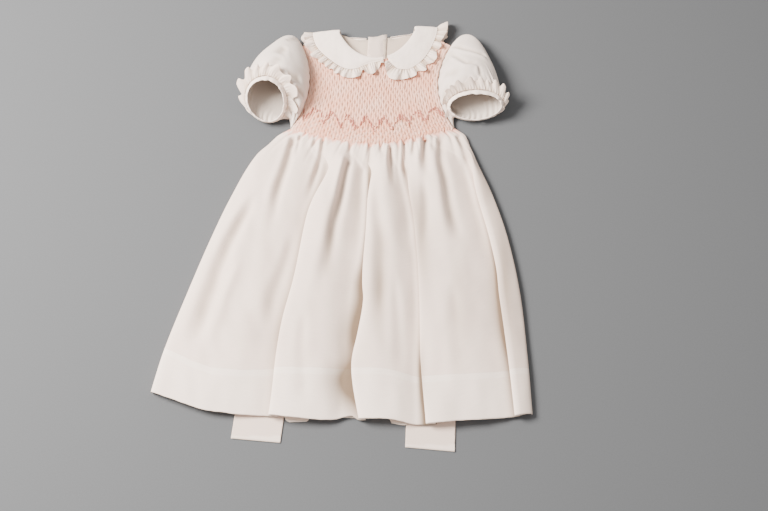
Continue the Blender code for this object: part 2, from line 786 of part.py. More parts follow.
# Rings that shape each sleeve between its armhole and its mouth. A meridian leaves the armhole
# towards the "shoulder" ring and comes to the mouth from the "puff" ring.
SLEEVES = {
    "left": {
        "shoulder": Ring((-81.5, 323.5, 19.7), (-41.5, 220, 42), (-75, 159.7, 4), (-69, 218.6, 9.2)),
        "puff": Ring((-148, 251, 28), (-98, 242, 66), (-74.7, 189, 21.5), (-115.6, 183.5, 3)),
        "mouth": Ring((-140, 190, 28), (-109, 211, 50), (-82, 183, 28), (-110, 162, 5.6)),
    },
    "right": {
        "shoulder": Ring((191, 330.5, 15), (134, 219.5, 29.5), (156, 174, 3.2), (158.7, 218.6, 16)),
        "puff": Ring((220, 254, 21.5), (174, 241.5, 54), (150.5, 189, 19), (196.6, 185, 5.2)),
        "mouth": Ring((227, 182, 21), (188, 197, 35.5), (148, 181, 20), (186, 165, 5.4)),
    },
}
RING_BLUNTNESS = (0.4, 0.8, 0.9, 1.0)  # armhole, shoulder, puff, mouth
SLEEVE_REST = 0.4  # the lowest cloth of a sleeve lies this far above the surface
SLEEVE_COLUMNS = 28
SLEEVE_ROWS = 8
BAND_WIDTH = 6.5
BAND_THICKNESS = 2.4
BAND_START = 1.3  # the band starts this far in front of the sleeve's edge


def sleeve_point(side, angle, along):
    """A place on a sleeve's outside: the angle runs round it, along is 0 at the armhole."""
    rings = SLEEVES[side]
    places = (ARMHOLES[side], rings["shoulder"], rings["puff"], rings["mouth"])
    armhole, shoulder, puff, mouth = (
        ring_point(ring, angle, blunt) for ring, blunt in zip(places, RING_BLUNTNESS)
    )
    rest = 1 - along
    point = (
        armhole * rest**3
        + shoulder * 3 * rest * rest * along
        + puff * 3 * rest * along * along
        + mouth * along**3
    )
    point.z = max(point.z, SLEEVE_REST)
    return point


def mouth_frame(side, angle):
    """A point of the mouth, the way outwards from its middle and the way out of the sleeve."""
    ring = SLEEVES[side]["mouth"]
    centre = (Vector(ring.cap) + Vector(ring.under) + Vector(ring.front) + Vector(ring.back)) / 4
    point = ring_point(ring, angle)
    after = ring_point(ring, angle + 0.01)
    across = Vector(ring.cap) - Vector(ring.under)
    up = Vector(ring.front) - Vector(ring.back)
    axis = across.cross(up).normalized()
    axis *= 1 if axis.y < 0 else -1
    outwards = (after - point).cross(axis).normalized()
    outwards *= 1 if outwards.dot(point - centre) > 0 else -1
    return point, outwards, axis


def sleeve(side, finish):
    outer = []
    for row in range(SLEEVE_ROWS + 1):
        along = row / SLEEVE_ROWS
        outer.append(
            [
                sleeve_point(side, 2 * math.pi * column / SLEEVE_COLUMNS, along)
                for column in range(SLEEVE_COLUMNS)
            ]
        )
    inwards = SLEEVE_CLOTH * (1 if side == "left" else -1)
    return cloth(f"sleeve_{side}", outer, offset(outer, inwards, True, 2), finish, ring=True)


def sleeve_band(side, finish):
    """The bias binding round a sleeve's mouth: a ring with a rounded section."""
    section_points = 6
    half_width, half_thick = BAND_WIDTH / 2, BAND_THICKNESS / 2
    bm = bmesh.new()
    rings = []
    for column in range(SLEEVE_COLUMNS):
        point, outwards, axis = mouth_frame(side, 2 * math.pi * column / SLEEVE_COLUMNS)
        middle = point + axis * (BAND_START + half_width) - outwards * SLEEVE_CLOTH / 2
        section = []
        for corner in range(section_points):
            turn = 2 * math.pi * (corner + 0.5) / section_points
            reach = axis * half_width * math.sin(turn) + outwards * half_thick * math.cos(turn)
            section.append(bm.verts.new((middle + reach * 1.1) * METRES_PER_MM))
        rings.append(section)
    for here, there in zip(rings, rings[1:] + rings[:1]):
        for corner in range(section_points):
            after = (corner + 1) % section_points
            bm.faces.new((here[corner], here[after], there[after], there[corner]))
    return add_object(f"sleeve_band_{side}", bm, finish)


def sleeve_ruffle(side, finish):
    """A gathered frill sewn on behind the band. It flares out, and lies back under the sleeve."""
    columns = SLEEVE_RUFFLE_WAVES * COLUMNS_PER_WAVE
    grid = [[], [], []]
    for column in range(columns):
        angle = 2 * math.pi * column / columns
        _, outwards, axis = mouth_frame(side, angle)
        length = (sleeve_point(side, angle, 1.0) - sleeve_point(side, angle, 0.9)).length / 0.1
        lowness = ease((-math.sin(angle) - 0.4) / 0.6)
        off_cloth = (outwards * mix(0.7, 1.0, lowness) + axis * mix(0.7, 0.0, lowness)).normalized()
        crowding = ease(-1.7 * math.cos(angle - math.radians(24)) - 0.5)
        freedom = ease(2 * math.cos(angle + math.radians(15)) - 0.6)  # it fans out past the cap
        share = 1 - UNDERARM_CROWDING * crowding + RUFFLE_FAN_WIDENS * freedom
        width = SLEEVE_RUFFLE_WIDTH * share * mix(0.86, 1.0, lowness)
        flare = mix(RUFFLE_FLARE, RUFFLE_FLARE_LOW, lowness) + RUFFLE_FAN * freedom
        swing = mix(RUFFLE_SWING, RUFFLE_SWING_LOW, lowness)
        wave = math.sin(2 * math.pi * column / COLUMNS_PER_WAVE + 0.8 + 0.5 * math.sin(3 * angle))
        for span, line in enumerate(grid):
            out = span / 2
            reach = SLEEVE_RUFFLE_SEAM + width * out * (1 + 0.08 * wave)
            lift = SLEEVE_RUFFLE_LIFT + out * (flare + swing * wave)
            place = sleeve_point(side, angle, 1 - reach / length) + off_cloth * lift
            place.z = max(place.z, RUFFLE_CLOTH / 2 + 0.35 + 0.3 * out * (1 + wave))
            line.append(place)
    outer = offset(grid, RUFFLE_CLOTH / 2, True)
    inner = offset(grid, -RUFFLE_CLOTH / 2, True)
    return cloth(f"sleeve_ruffle_{side}", outer, inner, finish, ring=True)


# ---------------------------------------------------------------- collar and its ruffle

# The collar's outer edge. Each part runs from share 0 to 1: the front from the centre front to
# the shoulder, the back from the shoulder to the centre back. drop is measured from the shoulder
# fold, down the front when it is negative and down the back when it is positive.
TURN_DROP = 6.0  # the parts stop this far from the fold; straight columns join them over it
CollarRow = namedtuple("CollarRow", "share x drop")
COLLAR_FRONT = {
    "left": (
        CollarRow(0.00, 56.0, -55.0),
        CollarRow(0.10, 46, -57),
        CollarRow(0.22, 33, -60.5),
        CollarRow(0.36, 14, -70),
        CollarRow(0.46, 2, -70),
        CollarRow(0.60, -15, -62),
        CollarRow(0.76, -33, -45),
        CollarRow(0.90, -45, -25),
        CollarRow(1.00, -48, -TURN_DROP),
    ),
    "right": (
        CollarRow(0.00, 63.5, -55.5),
        CollarRow(0.10, 69, -62),
        CollarRow(0.22, 78, -69.5),
        CollarRow(0.36, 92, -71),
        CollarRow(0.50, 105, -64),
        CollarRow(0.64, 116, -53),
        CollarRow(0.78, 125, -38),
        CollarRow(0.90, 132, -21),
        CollarRow(1.00, 136, -TURN_DROP),
    ),
}
COLLAR_BACK = {
    "left": (
        CollarRow(0.00, -47, TURN_DROP),
        CollarRow(0.20, -40, 24),
        CollarRow(0.45, -20, 48),
        CollarRow(0.68, 4, 58),
        CollarRow(0.86, 24, 50),
        CollarRow(1.00, 32, 22),
    ),
    "right": (
        CollarRow(0.00, 133, TURN_DROP),
        CollarRow(0.20, 128, 24),
        CollarRow(0.45, 112, 48),
        CollarRow(0.68, 92, 58),
        CollarRow(0.86, 74, 50),
        CollarRow(1.00, 66, 22),
    ),
}
# Directions from the neck's middle, in degrees: where the neck seam of a half starts, where its
# front meets the turn, where its back leaves it and where it ends.
NeckSweep = namedtuple("NeckSweep", "start turn leave end")
NECK_SWEEPS = {"left": NeckSweep(81, 168, 202, 254), "right": NeckSweep(75, 12, -22, -71)}
SHOULDER_TURN = 8.0  # length of collar taken up by the turn over the shoulder
COLLAR_CLEARANCE = SMOCK_HEIGHT + 0.4
COLLAR_FRONT_COLUMNS, COLLAR_BACK_COLUMNS = 12, 8
TURN_DROPS = (-4.0, -2.0, 0.0, 2.0, 4.0)


def neck_seam(degrees):
    """The neck seam in a direction from the neck's middle, as (x, drop)."""
    angle = math.radians(degrees)
    x = NECK_CENTRE_X + NECK_HALF_WIDTH * math.cos(angle)
    sine = math.sin(angle)
    if sine > 0:
        return Vector((x, -NECK_DEPTH_FRONT * sine**1.4 - COLLAR_ROLL * sine))
    return Vector((x, (NECK_DEPTH_BACK + COLLAR_ROLL) * -sine))


def edge_point(rows, share):
    return Vector((column_at(rows, share, "x"), column_at(rows, share, "drop")))


def collar_stations(side, front_columns, back_columns):
    """Pairs of (neck seam, outer edge) from the centre front to the centre back."""
    sweep = NECK_SWEEPS[side]
    stations = []
    for column in range(front_columns + 1):
        share = column / front_columns
        neck = neck_seam(mix(sweep.start, sweep.turn, share))
        stations.append((neck, edge_point(COLLAR_FRONT[side], share)))
    back = []
    for column in range(back_columns + 1):
        share = column / back_columns
        neck = neck_seam(mix(sweep.leave, sweep.end, share))
        back.append((neck, edge_point(COLLAR_BACK[side], share)))
    (front_neck, front_edge), (back_neck, back_edge) = stations[-1], back[0]
    for drop in TURN_DROPS:
        share = (drop + TURN_DROP) / (2 * TURN_DROP)
        neck_x, edge_x = mix(front_neck.x, back_neck.x, share), mix(front_edge.x, back_edge.x, share)
        stations.append((Vector((neck_x, drop)), Vector((edge_x, drop))))
    return stations + back


def over_shoulder(x, drop, height):
    """A place on the outside of the yokes, wrapped from the front over the shoulder fold."""
    fold = neck_fold_y(x) if abs(x - NECK_CENTRE_X) < NECK_HALF_WIDTH else shoulder_y(x)
    half = SHOULDER_TURN / 2
    front_y = fold + min(drop, -half)
    top = yoke_height(x, front_y) + COLLAR_CLEARANCE
    bottom = BACK_COLLAR_LIFT - 0.35
    if drop <= -half:
        return Vector((x, front_y, top + height))
    if drop >= half:
        return Vector((x, fold - drop, bottom - height))
    turn = math.pi * (drop + half) / SHOULDER_TURN
    middle, radius = (top + bottom) / 2, (top - bottom) / 2 + height
    y = fold - half + (half * 0.7 + height) * math.sin(turn)
    return Vector((x, y, middle + radius * math.cos(turn)))


def collar_section(length, back):
    """Distance from the neck seam and height, across a collar that rolls over at the neck."""
    roll = mix(1.0, 0.8, back)
    return [
        (-0.9, -0.8 * roll),
        (-2.4, 0.2 * roll),
        (-2.4, 1.6 * roll),
        (-0.6, 2.7 * roll),
        (length * 0.45, 2.1 * roll),
        (length, mix(1.0, 0.8, back)),
    ]


def collar(side, finish):
    grid = []
    for neck, edge in collar_stations(side, COLLAR_FRONT_COLUMNS, COLLAR_BACK_COLUMNS):
        length = (edge - neck).length
        way = (edge - neck).normalized()
        back = ease((neck.y + 4) / 8)
        line = []
        for distance, height in collar_section(length, back):
            place = neck + way * distance
            line.append(over_shoulder(place.x, place.y, height))
        grid.append(line)
    outer = offset(grid, COLLAR_CLOTH / 2)
    inner = offset(grid, -COLLAR_CLOTH / 2)
    return cloth(f"collar_{side}", outer, inner, finish)


def collar_ruffle(side, finish):
    """A frill gathered onto a collar half's outer edge."""
    edge = [edge for _, edge in collar_stations(side, 120, 90)]
    lengths = [0.0]
    for before, after in zip(edge, edge[1:]):
        lengths.append(lengths[-1] + (after - before).length)
    waves = round(lengths[-1] / RUFFLE_PITCH)
    columns = waves * COLUMNS_PER_WAVE
    grid = []
    for column in range(columns + 1):
        goal = lengths[-1] * column / columns
        index = min(len(edge) - 2, max(i for i, far in enumerate(lengths) if far <= goal))
        place = edge[index] + (edge[index + 1] - edge[index]) * (
            (goal - lengths[index]) / (lengths[index + 1] - lengths[index])
        )
        before, after = edge[max(0, index - 3)], edge[min(len(edge) - 1, index + 4)]
        along = (after - before).normalized()
        away = Vector((along.y, -along.x)) * OUTWARD[side]
        back = ease((place.y + 4) / 8)
        end_taper = mix(0.38, 1.0, ease(min(column, columns - column) / 6))
        wave = math.sin(2 * math.pi * column / COLUMNS_PER_WAVE + 0.9)
        line = []
        for span in range(3):
            out = span / 2
            rise = mix(mix(1.0, 3.0, out), mix(0.8, 1.4, out), back)
            swing = mix(2.2, 0.4, back) * out * wave
            wide = RUFFLE_WIDTH * end_taper * out * (1 + 0.07 * wave)
            spot = place + away * (COLLAR_CLOTH / 2 + SEAM_GAP + wide)
            line.append(over_shoulder(spot.x, spot.y, rise + swing))
        grid.append(line)
    outer = offset(grid, RUFFLE_CLOTH / 2)
    inner = offset(grid, -RUFFLE_CLOTH / 2)
    return cloth(f"collar_ruffle_{side}", outer, inner, finish)


# ---------------------------------------------------------------- the whole dress

def clear_scene():
    for existing in list(bpy.data.objects):
        bpy.data.objects.remove(existing)


def place_whole():
    """Parent every piece to one empty that centres the garment on the origin."""
    dress = bpy.data.objects.new("smocked_dress", None)
    bpy.context.scene.collection.objects.link(dress)
    for piece in bpy.data.objects:
        if piece.type == "MESH":
            piece.parent = dress
    dress.location.y = CENTRING_SHIFT * METRES_PER_MM


def build():
    clear_scene()
    ivory = material("ivory_wool_voile", (0.80, 0.75, 0.70))
    smocked = material("smocked_voile_pink", (0.82, 0.62, 0.55))
    trim = material("ivory_trim", (0.84, 0.79, 0.74))
    shell = material("shell_button", (0.80, 0.78, 0.72), roughness=0.35)
    front_yoke(smocked)
    skirt_front(ivory)
    skirt_back(ivory)
    placket(ivory)
    for number, drop in enumerate(BUTTON_DROPS, start=1):
        button(number, drop, shell)
    for side in ("left", "right"):
        back_yoke(side, ivory)
        sash(side, ivory)
        sleeve(side, ivory)
        sleeve_band(side, trim)
        sleeve_ruffle(side, trim)
        collar(side, ivory)
        collar_ruffle(side, trim)
    place_whole()


build()
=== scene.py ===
# %% [markdown]
# # A toddler's smocked dress, laid flat
# The dress is sewn from voile, a light plain weave of wool and cotton. It has a smocked yoke, puffed
# sleeves with a binding and a frill, a round collar in two halves, and a gathered skirt with a deep
# hem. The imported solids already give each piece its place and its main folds. A fine cloth is
# thinner and more finely creased than a solid wall can be, so this lesson lays a thin shell over
# each solid and then gives it cloth, thread and light.
#
# The tables are in millimetres, as a dressmaker draws: +X to the right of the dress as it is seen
# from above, +Y towards the collar, +Z up. `SHIFT_Y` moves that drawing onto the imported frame.

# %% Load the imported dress
import math
from collections import namedtuple

import bmesh
import bpy
import numpy as np
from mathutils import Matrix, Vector


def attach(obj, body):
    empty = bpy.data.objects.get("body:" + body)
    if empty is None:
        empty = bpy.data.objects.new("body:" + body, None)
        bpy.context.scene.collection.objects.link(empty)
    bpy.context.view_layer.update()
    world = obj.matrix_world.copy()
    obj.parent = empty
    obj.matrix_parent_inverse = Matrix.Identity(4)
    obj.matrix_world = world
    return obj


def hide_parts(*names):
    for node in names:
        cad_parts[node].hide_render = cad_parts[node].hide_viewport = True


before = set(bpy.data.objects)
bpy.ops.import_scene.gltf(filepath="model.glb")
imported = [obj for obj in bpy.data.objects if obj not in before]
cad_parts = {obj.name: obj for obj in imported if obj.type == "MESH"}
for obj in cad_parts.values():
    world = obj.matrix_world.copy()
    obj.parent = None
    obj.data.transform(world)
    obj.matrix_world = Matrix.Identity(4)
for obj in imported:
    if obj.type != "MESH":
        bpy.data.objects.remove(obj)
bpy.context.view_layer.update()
SHIFT_Y = 1.43

# %% [markdown]
# ## Smooth steps and smooth curves
# Nothing on laid cloth starts or stops at a corner: a hem fades into a fold, and an outline bends
# slowly. Blender's own curves could draw the outlines, but then each point of a piece would have
# to be read back from them. Three small functions do it on whole arrays at once: an eased step, a
# mix of two values, and a smooth curve through the rows of a table.

# %% Steps and curves
def ease(share):
    """0 to 1 with a soft start and a soft end."""
    share = np.clip(share, 0.0, 1.0)
    return share * share * (3.0 - 2.0 * share)


def mix(first, last, share):
    """A value between two: the first at a share of 0, the last at 1."""
    return first + (last - first) * share


def through(rows, at):
    """The columns of a table at places between its rows, on a smooth curve through them."""
    rows = np.asarray(rows, float)
    keys, values = rows[:, 0], rows[:, 1:]
    at = np.clip(np.asarray(at, float), keys[0], keys[-1])
    i = np.clip(np.searchsorted(keys, at, side="right") - 1, 0, len(keys) - 2)
    low = np.maximum(np.arange(len(keys)) - 1, 0)
    high = np.minimum(np.arange(len(keys)) + 1, len(keys) - 1)
    slopes = (values[high] - values[low]) / (keys[high] - keys[low])[:, None]
    span = (keys[i + 1] - keys[i])[..., None]
    t = (at - keys[i])[..., None] / span
    return (
        values[i] * (1 + 2 * t) * (1 - t) ** 2
        + slopes[i] * span * t * (1 - t) ** 2
        + values[i + 1] * t * t * (3 - 2 * t)
        + slopes[i + 1] * span * t * t * (t - 1)
    )


print("a quarter of the way up a 10 mm step, eased:", round(float(mix(0, 10, ease(0.25))), 2), "mm")

# %% [markdown]
# ## Unevenness
# Cloth that a hand has laid down is never quite even. A noise texture could shake the points, but
# its look changes with its settings from one version to the next. A sum of nine waves in random
# directions gives the same soft ripples every time, at a size that is stated in millimetres.

# %% Ripples
def ripple(x, y, size, seed, waves=9):
    """Smooth unevenness, mostly between -1 and 1, with features of about a size in mm."""
    chance = np.random.default_rng(seed)
    total = 0.0
    for _ in range(waves):
        turn, phase = chance.uniform(0, 2 * math.pi, 2)
        rate = 2 * math.pi / (size * chance.uniform(0.7, 1.7))
        total = total + np.sin((x * math.cos(turn) + y * math.sin(turn)) * rate + phase)
    return total / math.sqrt(2 * waves)


along_tape = ripple(np.arange(500.0), 0, 30, 1)
print("half the span of a 30 mm ripple of size 1:", np.round(np.ptp(along_tape) / 2, 2))

# %% [markdown]
# ## Meshes from grids of points
# Every piece of cloth here is a grid of points, as woven cloth is a grid of threads. Subdividing a
# plane and pushing its points about would also work, but a grid that is worked out in one go keeps
# its rows along the real piece. Its mesh keeps three things for the finishes: `cloth`, the
# distances across and along the cloth in mm, which carry the weave round every fold, the painted
# shade, how much darker a place is coloured where it lies deep among its neighbours or out of the
# light, and `tone`, which each finish uses in its own way.

# %% Grid meshes
BODY = "root"


def add_mesh(name, points, faces, finish, nodes=()):
    """A mesh from points in mm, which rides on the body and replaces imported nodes."""
    mesh = bpy.data.meshes.new(name)
    mesh.from_pydata(((points + (0, SHIFT_Y, 0)) / 1000).tolist(), [], faces)
    mesh.shade_smooth()
    mesh.materials.append(finish)
    made = bpy.data.objects.new(name, mesh)
    bpy.context.scene.collection.objects.link(made)
    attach(made, BODY)
    if nodes:
        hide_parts(*nodes)
    return made


def keep_values(made, name, kind, values):
    """Keeps a value for each point, for the finish to read."""
    store = made.data.attributes.new(name, kind, "POINT")
    store.data.foreach_set("vector" if kind == "FLOAT_VECTOR" else "value", values.ravel())


def cloth_mesh(
    name, grid, finish, nodes=(), painted_shade=None, tone=None, blush=None, thickness=0.0, inner=None,
    turned=False,
):
    """A sheet of cloth through a grid of points, grid[row, column] = (x, y, z) in mm."""
    rows, columns = grid.shape[:2]
    index = np.arange(rows * columns).reshape(rows, columns)
    corners = (index[:-1, :-1], index[:-1, 1:], index[1:, 1:], index[1:, :-1])
    corners = corners[::-1] if turned else corners
    made = add_mesh(name, grid.reshape(-1, 3), np.stack(corners, -1).reshape(-1, 4).tolist(), finish, nodes)
    across = np.linalg.norm(np.diff(grid, axis=1, prepend=grid[:, :1]), axis=2).cumsum(axis=1)
    along = np.linalg.norm(np.diff(grid, axis=0, prepend=grid[:1]), axis=2).cumsum(axis=0)
    keep_values(made, "cloth", "FLOAT_VECTOR", np.stack([across, along, 0 * along], -1))
    empty = np.zeros((rows, columns))
    keep_values(made, "painted_shade", "FLOAT", empty if painted_shade is None else painted_shade)
    keep_values(made, "tone", "FLOAT", empty if tone is None else tone)
    if blush is not None:
        keep_values(made, "blush", "FLOAT", blush)
    if thickness:
        solid = made.modifiers.new("thickness", "SOLIDIFY")
        solid.thickness, solid.offset = thickness / 1000, 0.0
        if inner:
            made.data.materials.append(inner)
            solid.offset, solid.material_offset = -1.0, 1
    return made


print("every piece rides on:", BODY)

# %% [markdown]
# ## Colours and nodes
# A colour that is picked is an sRGB code, and the shaders reckon in linear light, so one
# function turns the one into the other. A second one adds a node with its settings and its links,
# so that a finish reads from top to bottom like a recipe.

# %% Colours and nodes
def colour(code):
    """A linear colour from an sRGB hex code."""
    parts = [int(code[i : i + 2], 16) / 255 for i in (1, 3, 5)]
    return [p / 12.92 if p <= 0.04045 else ((p + 0.055) / 1.055) ** 2.4 for p in parts] + [1.0]


def add_node(tree, kind, inputs=(), **settings):
    """A node with its settings, and its inputs given as values or as other nodes' outputs."""
    made = tree.nodes.new("ShaderNode" + kind)
    for key, value in settings.items():
        setattr(made, key, value)
    for socket, value in dict(inputs).items():
        if isinstance(value, bpy.types.NodeSocket):
            tree.links.new(value, made.inputs[socket])
        else:
            made.inputs[socket].default_value = value
    return made


print("ivory in linear light:", [round(part, 3) for part in colour("#f5e0d3")[:3]])

# %% [markdown]
# ## Voile
# Voile is a plain weave: each weft thread goes over one warp thread and under the next. Its yarn is
# fine and hard twisted, about two threads to the millimetre, with thicker places, or slubs, here
# and there. Modelling the threads would take millions of faces, so their height goes into the
# bump: two crossed waves for the threads, stretched noise for the slubs, and a soft crumple some
# 34 mm across for cloth that was washed and pressed by hand.
#
# What the eye gets from it: a matt surface, since the threads' round sides send light everywhere;
# a faint sheen at the edges, from the wool's fuzz; and light that passes through one layer and
# comes back warm from a hollow. The fibres' IOR is about 1.5, which is the shader's default.

# %% Woven cloth
THREAD_HEIGHT, SLUB_HEIGHT, HEM_STEP = 0.00005, 0.00006, 0.00022  # metres
THREAD_SPACING, CRUMPLE_SIZE = 0.5, 34  # mm
SLUBS_PER_MM = (0.05, 1.1, 1.0)  # a slub is some 20 mm long and 0.9 mm wide
HEM_TURNING = (8.8, 9.6)  # mm below the hem's top, where three layers of cloth become two
WAVE_PERIOD = 0.314  # mm: the wave texture's period at a scale of 1


def voile(
    name, base, deep, toned, weave=THREAD_SPACING, crumple=0.5, passes_light=0.22, painted_shade_share=0.8,
    hem=False, pink=None,
):
    """Plain woven cloth. With hem, its tone is read as mm below the top of a turned-up hem."""
    made = bpy.data.materials.new(name)
    made.use_nodes = True
    tree = made.node_tree
    tree.nodes.clear()
    at = add_node(tree, "Attribute", attribute_name="cloth").outputs["Vector"]
    waves = {"Vector": at, "Scale": WAVE_PERIOD / weave}
    waves |= {"Distortion": 0.7, "Detail": 1.0, "Detail Scale": 1.5}
    warp = add_node(tree, "TexWave", waves, bands_direction="X").outputs["Fac"]
    weft = add_node(tree, "TexWave", waves, bands_direction="Y").outputs["Fac"]
    threads = add_node(tree, "Math", {0: warp, 1: weft}, operation="MULTIPLY").outputs[0]
    slub_at = add_node(tree, "Mapping", {"Vector": at, "Scale": SLUBS_PER_MM}).outputs[0]
    slubs = add_node(tree, "TexNoise", {"Vector": slub_at, "Scale": 1.0, "Detail": 3.0}).outputs[0]
    soft = {"Vector": at, "Scale": 1 / CRUMPLE_SIZE, "Detail": 2.5, "Roughness": 0.45}
    soft = add_node(tree, "TexNoise", soft).outputs[0]

    tone = add_node(tree, "Attribute", attribute_name="tone").outputs["Fac"]
    reliefs = [(1.0, crumple / 1000, soft), (0.5, SLUB_HEIGHT, slubs), (0.6, THREAD_HEIGHT, threads)]
    if hem:
        turned_up = add_node(tree, "MapRange", {0: tone, 1: -0.1, 2: 0.3, 3: 0.0, 4: 1.0}).outputs[0]
        narrow = {0: tone, 1: HEM_TURNING[0], 2: HEM_TURNING[1], 3: 0.0, 4: -0.45}
        narrow = add_node(tree, "MapRange", narrow).outputs[0]
        tone = add_node(tree, "Math", {0: turned_up, 1: narrow}, operation="ADD").outputs[0]
        reliefs.append((1.0, HEM_STEP, tone))
    normal = {}
    for strength, height, relief in reliefs:
        bump = {"Strength": strength, "Distance": height, "Height": relief, **normal}
        normal = {"Normal": add_node(tree, "Bump", bump).outputs[0]}

    tint = add_node(tree, "Mix", {0: tone, 6: colour(base), 7: colour(toned)}, data_type="RGBA").outputs[2]
    if pink:
        blush = add_node(tree, "Attribute", attribute_name="blush").outputs["Fac"]
        tint = add_node(tree, "Mix", {0: blush, 6: tint, 7: colour(pink)}, data_type="RGBA").outputs[2]
    # Painted shade: each point's stored amount turns the colour towards deep, the brown that stands for shade
    # in folds; the slubs' flecks below use the same brown.
    painted_shade = add_node(tree, "Attribute", attribute_name="painted_shade").outputs["Fac"]
    share = add_node(tree, "Math", {0: painted_shade, 1: painted_shade_share}, operation="MULTIPLY").outputs[0]
    speck = add_node(tree, "MapRange", {0: slubs, 1: 0.3, 2: 0.7, 3: 0.0, 4: 0.07}).outputs[0]
    for amount in (share, speck):
        tint = add_node(tree, "Mix", {0: amount, 6: tint, 7: colour(deep)}, data_type="RGBA").outputs[2]

    skin = {"Base Color": tint, "Roughness": 0.88, "Sheen Weight": 0.18, "Sheen Roughness": 0.45}
    front = add_node(tree, "BsdfPrincipled", {**skin, "Specular IOR Level": 0.25, **normal})
    glow = add_node(tree, "BsdfTranslucent", {"Color": tint, **normal})
    both = add_node(tree, "MixShader", {0: passes_light, 1: front.outputs[0], 2: glow.outputs[0]})
    add_node(tree, "OutputMaterial", {"Surface": both.outputs[0]})
    made.diffuse_color = colour(base)
    return made


print("threads to a centimetre of voile:", round(10 / THREAD_SPACING))

# %% [markdown]
# ## Thread, shell and paper
# The small hard or fibrous things share a plainer finish: one colour with a darker fleck of itself
# and a fine grain in the bump. Stranded thread is mercerised cotton, which the twist makes silky;
# a shell button is cut and polished, so it has a thin clear lustre over a broad soft grain. Cotton
# and shell both have an IOR of about 1.55, so the shader's default of 1.5 stays.

# %% Plain finishes
TWIST = 0.6  # mm; a strand's twist repeats every 0.2 to 0.3 mm, which would be too fine to show


def plain_finish(name, base, roughness, grain=1 / TWIST, depth=0.00004, **sockets):
    """Thread, shell or paper: one colour with fine unevenness, grain in waves per mm."""
    made = bpy.data.materials.new(name)
    made.use_nodes = True
    tree = made.node_tree
    shader = tree.nodes["Principled BSDF"]
    at = add_node(tree, "TexCoord").outputs["Object"]
    noise = add_node(tree, "TexNoise", {"Vector": at, "Scale": 1000 * grain, "Detail": 2.0}).outputs[0]
    bump = add_node(tree, "Bump", {"Strength": 0.6, "Distance": depth, "Height": noise})
    dark = [0.82 * part for part in colour(base)[:3]] + [1.0]
    tint = add_node(tree, "Mix", {0: noise, 6: colour(base), 7: dark}, data_type="RGBA")
    tree.links.new(tint.outputs[2], shader.inputs["Base Color"])
    tree.links.new(bump.outputs[0], shader.inputs["Normal"])
    for socket, value in {"Roughness": roughness, **sockets}.items():
        shader.inputs[socket].default_value = value
    return made


print("the twist of a thread, as it is drawn:", TWIST, "mm")

# %% [markdown]
# ## The laid outline
# A dressmaker starts from the pattern's lines: armholes, shoulders, neckline, waist and hem. Here
# they are the lines of the dress as it lies, a little twisted. Each armhole is a ring through four
# places, and the skirt's sides are a table of rows. Drawing each piece on its own would leave gaps
# at the seams, so every later piece is worked out from these.

# %% Armholes and other rings
Ring = namedtuple("Ring", "cap front under back")
ARMHOLES = {
    "left": Ring((-64, 283, 4.6), (-52, 217, 8.0), (-77, 151, 3.2), (-52, 217, 0.9)),
    "right": Ring((156, 284, 4.6), (136, 218, 8.0), (158, 152, 3.2), (136, 218, 0.9)),
}
OUTWARD = {"left": -1, "right": 1}


def ring_point(ring, angle, bluntness=1.0):
    """Points of a ring through four places; the angle is 0 at the cap and 90 at the front."""
    cap, front, under, back = np.array(ring, float)
    middle = (cap + under) / 2
    sine, cosine = np.sin(angle)[..., None], np.cos(angle)[..., None]
    blunt = np.copysign(np.abs(sine) ** bluntness, sine)
    swell = ((front + back) / 2 - middle) * sine * sine
    return middle + (cap - under) / 2 * cosine + (front - back) / 2 * blunt + swell


def armhole_x(side, y):
    """Where the armhole's front edge runs at heights y."""
    ring = ARMHOLES[side]
    top, bottom = ring.cap[1], ring.under[1]
    return ring_point(ring, np.arccos(np.clip((2 * y - top - bottom) / (top - bottom), -1, 1)))[..., 0]


CHEST = ARMHOLES["right"].under[0] - ARMHOLES["left"].under[0]
print("across the chest, from underarm to underarm:", CHEST, "mm")

# %% Shoulders and neckline
SHOULDERS = {"left": (-9, 309, 0.055), "right": (104, 315, 0.03)}
NECK_CENTRE_X, NECK_HALF_WIDTH, NECK_DEPTH_FRONT, NECK_DEPTH_BACK = 47.5, 58.0, 49.5, 12.5
COLLAR_ROLL = 3.0
SHOULDER_SEAM = 3.5  # mm that the yoke ends below the shoulder's fold, at the neck


def shoulder_y(x):
    """Where the shoulders' folds run, left and right of the neck."""
    left, right = SHOULDERS["left"], SHOULDERS["right"]
    on_left, on_right = left[1] + (x - left[0]) * left[2], right[1] + (x - right[0]) * right[2]
    return np.where(x < NECK_CENTRE_X, on_left, on_right)


def neck_fold_y(x):
    """The line from one shoulder's fold to the other, across the neck."""
    left, right = SHOULDERS["left"], SHOULDERS["right"]
    return mix(left[1], right[1], (x - left[0]) / (right[0] - left[0]))


def yoke_top_y(x, depth, power):
    """The yoke's upper edge: the neckline, and beside it the shoulder seams."""
    across = np.minimum(1.0, np.abs(x - NECK_CENTRE_X) / NECK_HALF_WIDTH)
    neckline = neck_fold_y(x) - COLLAR_ROLL - depth * (1 - across**2) ** power
    edges = []
    for side in ("left", "right"):
        neck, cap = SHOULDERS[side], ARMHOLES[side].cap
        edges.append(mix(neck[1] - SHOULDER_SEAM, cap[1], (x - neck[0]) / (cap[0] - neck[0])))
    shoulder = np.where(x < NECK_CENTRE_X, edges[0], edges[1])
    return np.where(across < 1.0, np.minimum(neckline, shoulder), shoulder)


print("neck edge across:", 2 * NECK_HALF_WIDTH, "mm")

